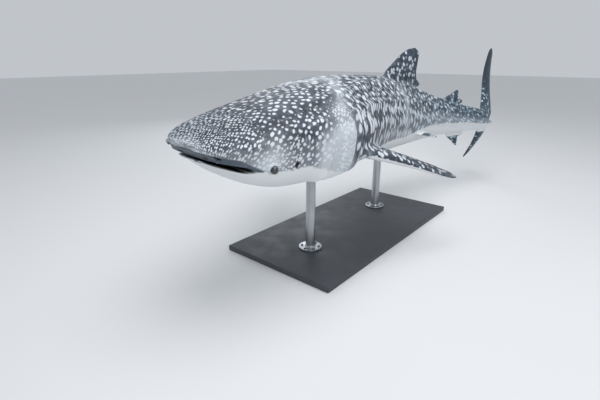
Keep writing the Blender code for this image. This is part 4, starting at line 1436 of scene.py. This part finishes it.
# %% Stand
BASE_INSET = 0.02
BASE_ROUNDING = 0.008
FLANGE_RADIUS = 0.105
FLANGE_HEIGHT = 0.016
ROD_RADIUS = 0.042
ROD_COVE = 0.010
ROD_CLEARANCE = 0.03
ROD_ROUNDING = 0.0025
BOLT_CIRCLE = 0.078
BOLT_RADIUS = 0.011
BOLT_COUNT = 6
BOLT_TURN = 1.7
BOLT_HEIGHT, BOLT_MIDDLE, BOLT_ROUNDING = 0.008, 0.0065, 0.0008
WASHER_SHARE = 1.35
WASHER_HEIGHT, WASHER_MIDDLE = 0.003, 0.0012
COLLAR_WALL = 0.011
COLLAR_HEIGHT = 0.075
COLLAR_DROP = 0.004
COLLAR_ROUNDING = 0.006


def make_base():
    size, middle = BASE_HIGH - BASE_LOW, (BASE_HIGH + BASE_LOW) / 2
    clear_selection()
    bpy.ops.mesh.primitive_cube_add(size=1, location=middle, scale=size)
    base = bpy.context.object
    base.name = "stand_plate"
    apply_place(base)
    pick_faces(base, way=-1)
    bpy.ops.mesh.inset(thickness=BASE_INSET)
    bpy.ops.object.mode_set(mode="OBJECT")
    bevel_all(base, BASE_ROUNDING, 4)
    return base


def make_rod(word):
    """A flange with a hollow cove up to the rod, which ends inside the collar."""
    low, high = (np.array(corner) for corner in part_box("stand_rod_" + word))
    foot = ((low + high) / 2)[:2]
    flange_place = (*foot, low[2] + FLANGE_HEIGHT / 2)
    rod = cylinder("stand_post_" + word, 64, FLANGE_RADIUS, FLANGE_HEIGHT, flange_place)
    apply_place(rod)
    pick_faces(rod, way=1)
    bpy.ops.mesh.inset(thickness=FLANGE_RADIUS - ROD_RADIUS - ROD_COVE)
    bpy.ops.mesh.inset(thickness=ROD_COVE, depth=ROD_COVE)
    rise = high[2] - low[2] - FLANGE_HEIGHT - ROD_CLEARANCE
    bpy.ops.mesh.extrude_region_move(TRANSFORM_OT_translate={"value": (0, 0, rise)})
    bpy.ops.object.mode_set(mode="OBJECT")
    bevel_all(rod, ROD_ROUNDING, 3)
    return rod, foot, low[2]


def make_bolts(word, foot, floor_height):
    """Six hex bolts with washers on the flange, made once and copied round."""
    top = floor_height + FLANGE_HEIGHT
    washer = cylinder("washer", 24, BOLT_RADIUS * WASHER_SHARE, WASHER_HEIGHT, (0, 0, WASHER_MIDDLE))
    bolt = cylinder("bolt", 6, BOLT_RADIUS, BOLT_HEIGHT, (0, 0, BOLT_MIDDLE))
    bevel_all(bolt, BOLT_ROUNDING, 2)
    washer.select_set(True)
    bpy.ops.object.join()
    apply_place(bolt)
    copies = []
    for i in range(BOLT_COUNT):
        turn = 2 * math.pi * i / BOLT_COUNT
        copy = bolt.copy()
        copy.data = bolt.data.copy()
        bpy.context.collection.objects.link(copy)
        spot = (foot[0] + BOLT_CIRCLE * math.cos(turn), foot[1] + BOLT_CIRCLE * math.sin(turn), top)
        copy.data.transform(Matrix.Translation(spot) @ Matrix.Rotation(turn * BOLT_TURN, 4, "Z"))
        copies.append(copy)
    bpy.data.objects.remove(bolt)
    clear_selection()
    for copy in copies:
        copy.select_set(True)
    bpy.context.view_layer.objects.active = copies[0]
    bpy.ops.object.join()
    bolts = bpy.context.object
    bolts.name = "stand_bolts_" + word
    return bolts


def make_collar(word, station, foot):
    """A rubber sleeve where the post meets the belly, with its top sunk into the skin."""
    belly = settle((station, 0, -float(belly_depth(station))))[0]
    place = (*foot, belly[2] - COLLAR_DROP)
    collar = cylinder("stand_collar_" + word, 48, ROD_RADIUS + COLLAR_WALL, COLLAR_HEIGHT, place)
    apply_place(collar)
    bevel_all(collar, COLLAR_ROUNDING, 3)
    return collar


def make_metal(name, colour, rough, metallic, stretch, depth):
    """A finish with a fine grain, drawn out where it is brushed, and cloudy wear in tone and gloss."""
    material, tree, shader = new_material(name)
    place = add(tree, "ShaderNodeTexCoord").outputs["Object"]
    long_place = vectors(tree, "MULTIPLY", place, stretch)
    lines = noise(tree, long_place, 1.0, 4.0)
    cloud = noise(tree, place, 7.0, 5.0)
    paler, darker = (tuple(c * factor for c in colour[:3]) + (1.0,) for factor in (1.25, 0.75))
    tone = blend(tree, remap(tree, cloud, 0.3, 0.7), colour, paler)
    tone = blend(tree, remap(tree, lines, 0.45, 0.75, 0.0, 0.25), tone, darker)
    roughness = remap(tree, cloud, 0.25, 0.75, rough - 0.06, rough + 0.10)
    relief = bumps(tree, lines, 0.35, depth)
    feed(tree, shader, {"Base Color": tone, "Roughness": roughness, "Metallic": metallic, "Normal": relief})
    return material


PLATE_COAT = make_metal("powder_coat", paint(58, 61, 66), 0.52, 0.0, (260.0, 260.0, 260.0), 0.0006)
POST_STEEL = make_metal("brushed_steel", paint(168, 171, 175), 0.30, 1.0, (16.0, 16.0, 700.0), 0.0003)
BOLT_STEEL = make_metal("bolt_steel", paint(140, 142, 146), 0.34, 1.0, (90.0, 90.0, 90.0), 0.0003)
RUBBER = make_metal("collar_rubber", paint(28, 29, 31), 0.72, 0.0, (320.0, 320.0, 320.0), 0.0005)


finish_piece(make_base(), PLATE_COAT, "stand_plate", "stand_base")
for word, station in zip(("front", "rear"), ROD_STATIONS):
    rod, foot, level = make_rod(word)
    finish_piece(rod, POST_STEEL, "stand_rods", "stand_rod_" + word)
    finish_piece(make_bolts(word, foot, level), BOLT_STEEL, "stand_rods")
    finish_piece(make_collar(word, station, foot), RUBBER, "stand_rods")
    print("post", word, "at", foot.round(3))

# %% [markdown]
# The photo was taken from a little above and ahead of the animal's left cheek, with a wide lens close to the
# head. The camera keeps that place, so that the head is large and the tail runs away small.

# %% Camera
CAMERA_BEFORE_SNOUT = (-1.294, -1.940, 0.480)
CAMERA_DOWN = 19.65
CAMERA_TURN = 50.0

view = bpy.data.cameras.new("photo_view")
view.lens = 24.0
view.sensor_width = 36.0
view.clip_end = 100.0
camera = bpy.data.objects.new("photo_view", view)
bpy.context.scene.collection.objects.link(camera)
camera.location = settle((0, 0, 0))[0] + CAMERA_BEFORE_SNOUT
camera.rotation_euler = (math.radians(90 - CAMERA_DOWN), 0, -math.radians(CAMERA_TURN))
bpy.context.scene.camera = camera
print("camera at", [round(v, 3) for v in camera.location])

# %% [markdown]
# A plain pale floor and soft light from large lamps overhead, as in a hall with a bright ceiling. The light
# comes mostly from above, so that the back is bright and the belly in soft shade.

# %% Floor and light
clear_selection()
bpy.ops.mesh.primitive_plane_add(size=80, location=(0, 0, 0))
floor = bpy.context.object
floor.name = "floor"
floor_material, floor_tree, floor_shader = new_material("pale_floor")
feed(floor_tree, floor_shader, {"Base Color": paint(226, 227, 228), "Roughness": 0.75})
floor.data.materials.append(floor_material)


def lamp(name, place, target, size, power, colour=(1.0, 1.0, 1.0)):
    light = bpy.data.lights.new(name, "AREA")
    light.shape = "DISK"
    light.size = size
    light.energy = power
    light.color = colour
    thing = bpy.data.objects.new(name, light)
    bpy.context.scene.collection.objects.link(thing)
    thing.location = place
    thing.rotation_euler = (Vector(place) - Vector(target)).to_track_quat("Z", "Y").to_euler()


lamp("ceiling", (-1.5, -1.5, 6.0), (0, 0, 1.0), 5.0, 210.0)
lamp("front_left", (-5.5, -5.0, 3.5), (-1.0, 0, 1.0), 3.5, 70.0, (1.0, 0.98, 0.95))
lamp("rear_right", (4.0, 5.5, 4.0), (1.0, 0, 1.0), 4.0, 90.0, (0.93, 0.97, 1.0))
sky = bpy.data.worlds.new("soft_room")
bpy.context.scene.world = sky
sky.use_nodes = True
sky_light = {"Color": (0.86, 0.90, 0.95, 1.0), "Strength": 0.62}
feed(sky.node_tree, sky.node_tree.nodes["Background"], sky_light)
bpy.context.scene.view_settings.view_transform = "Standard"
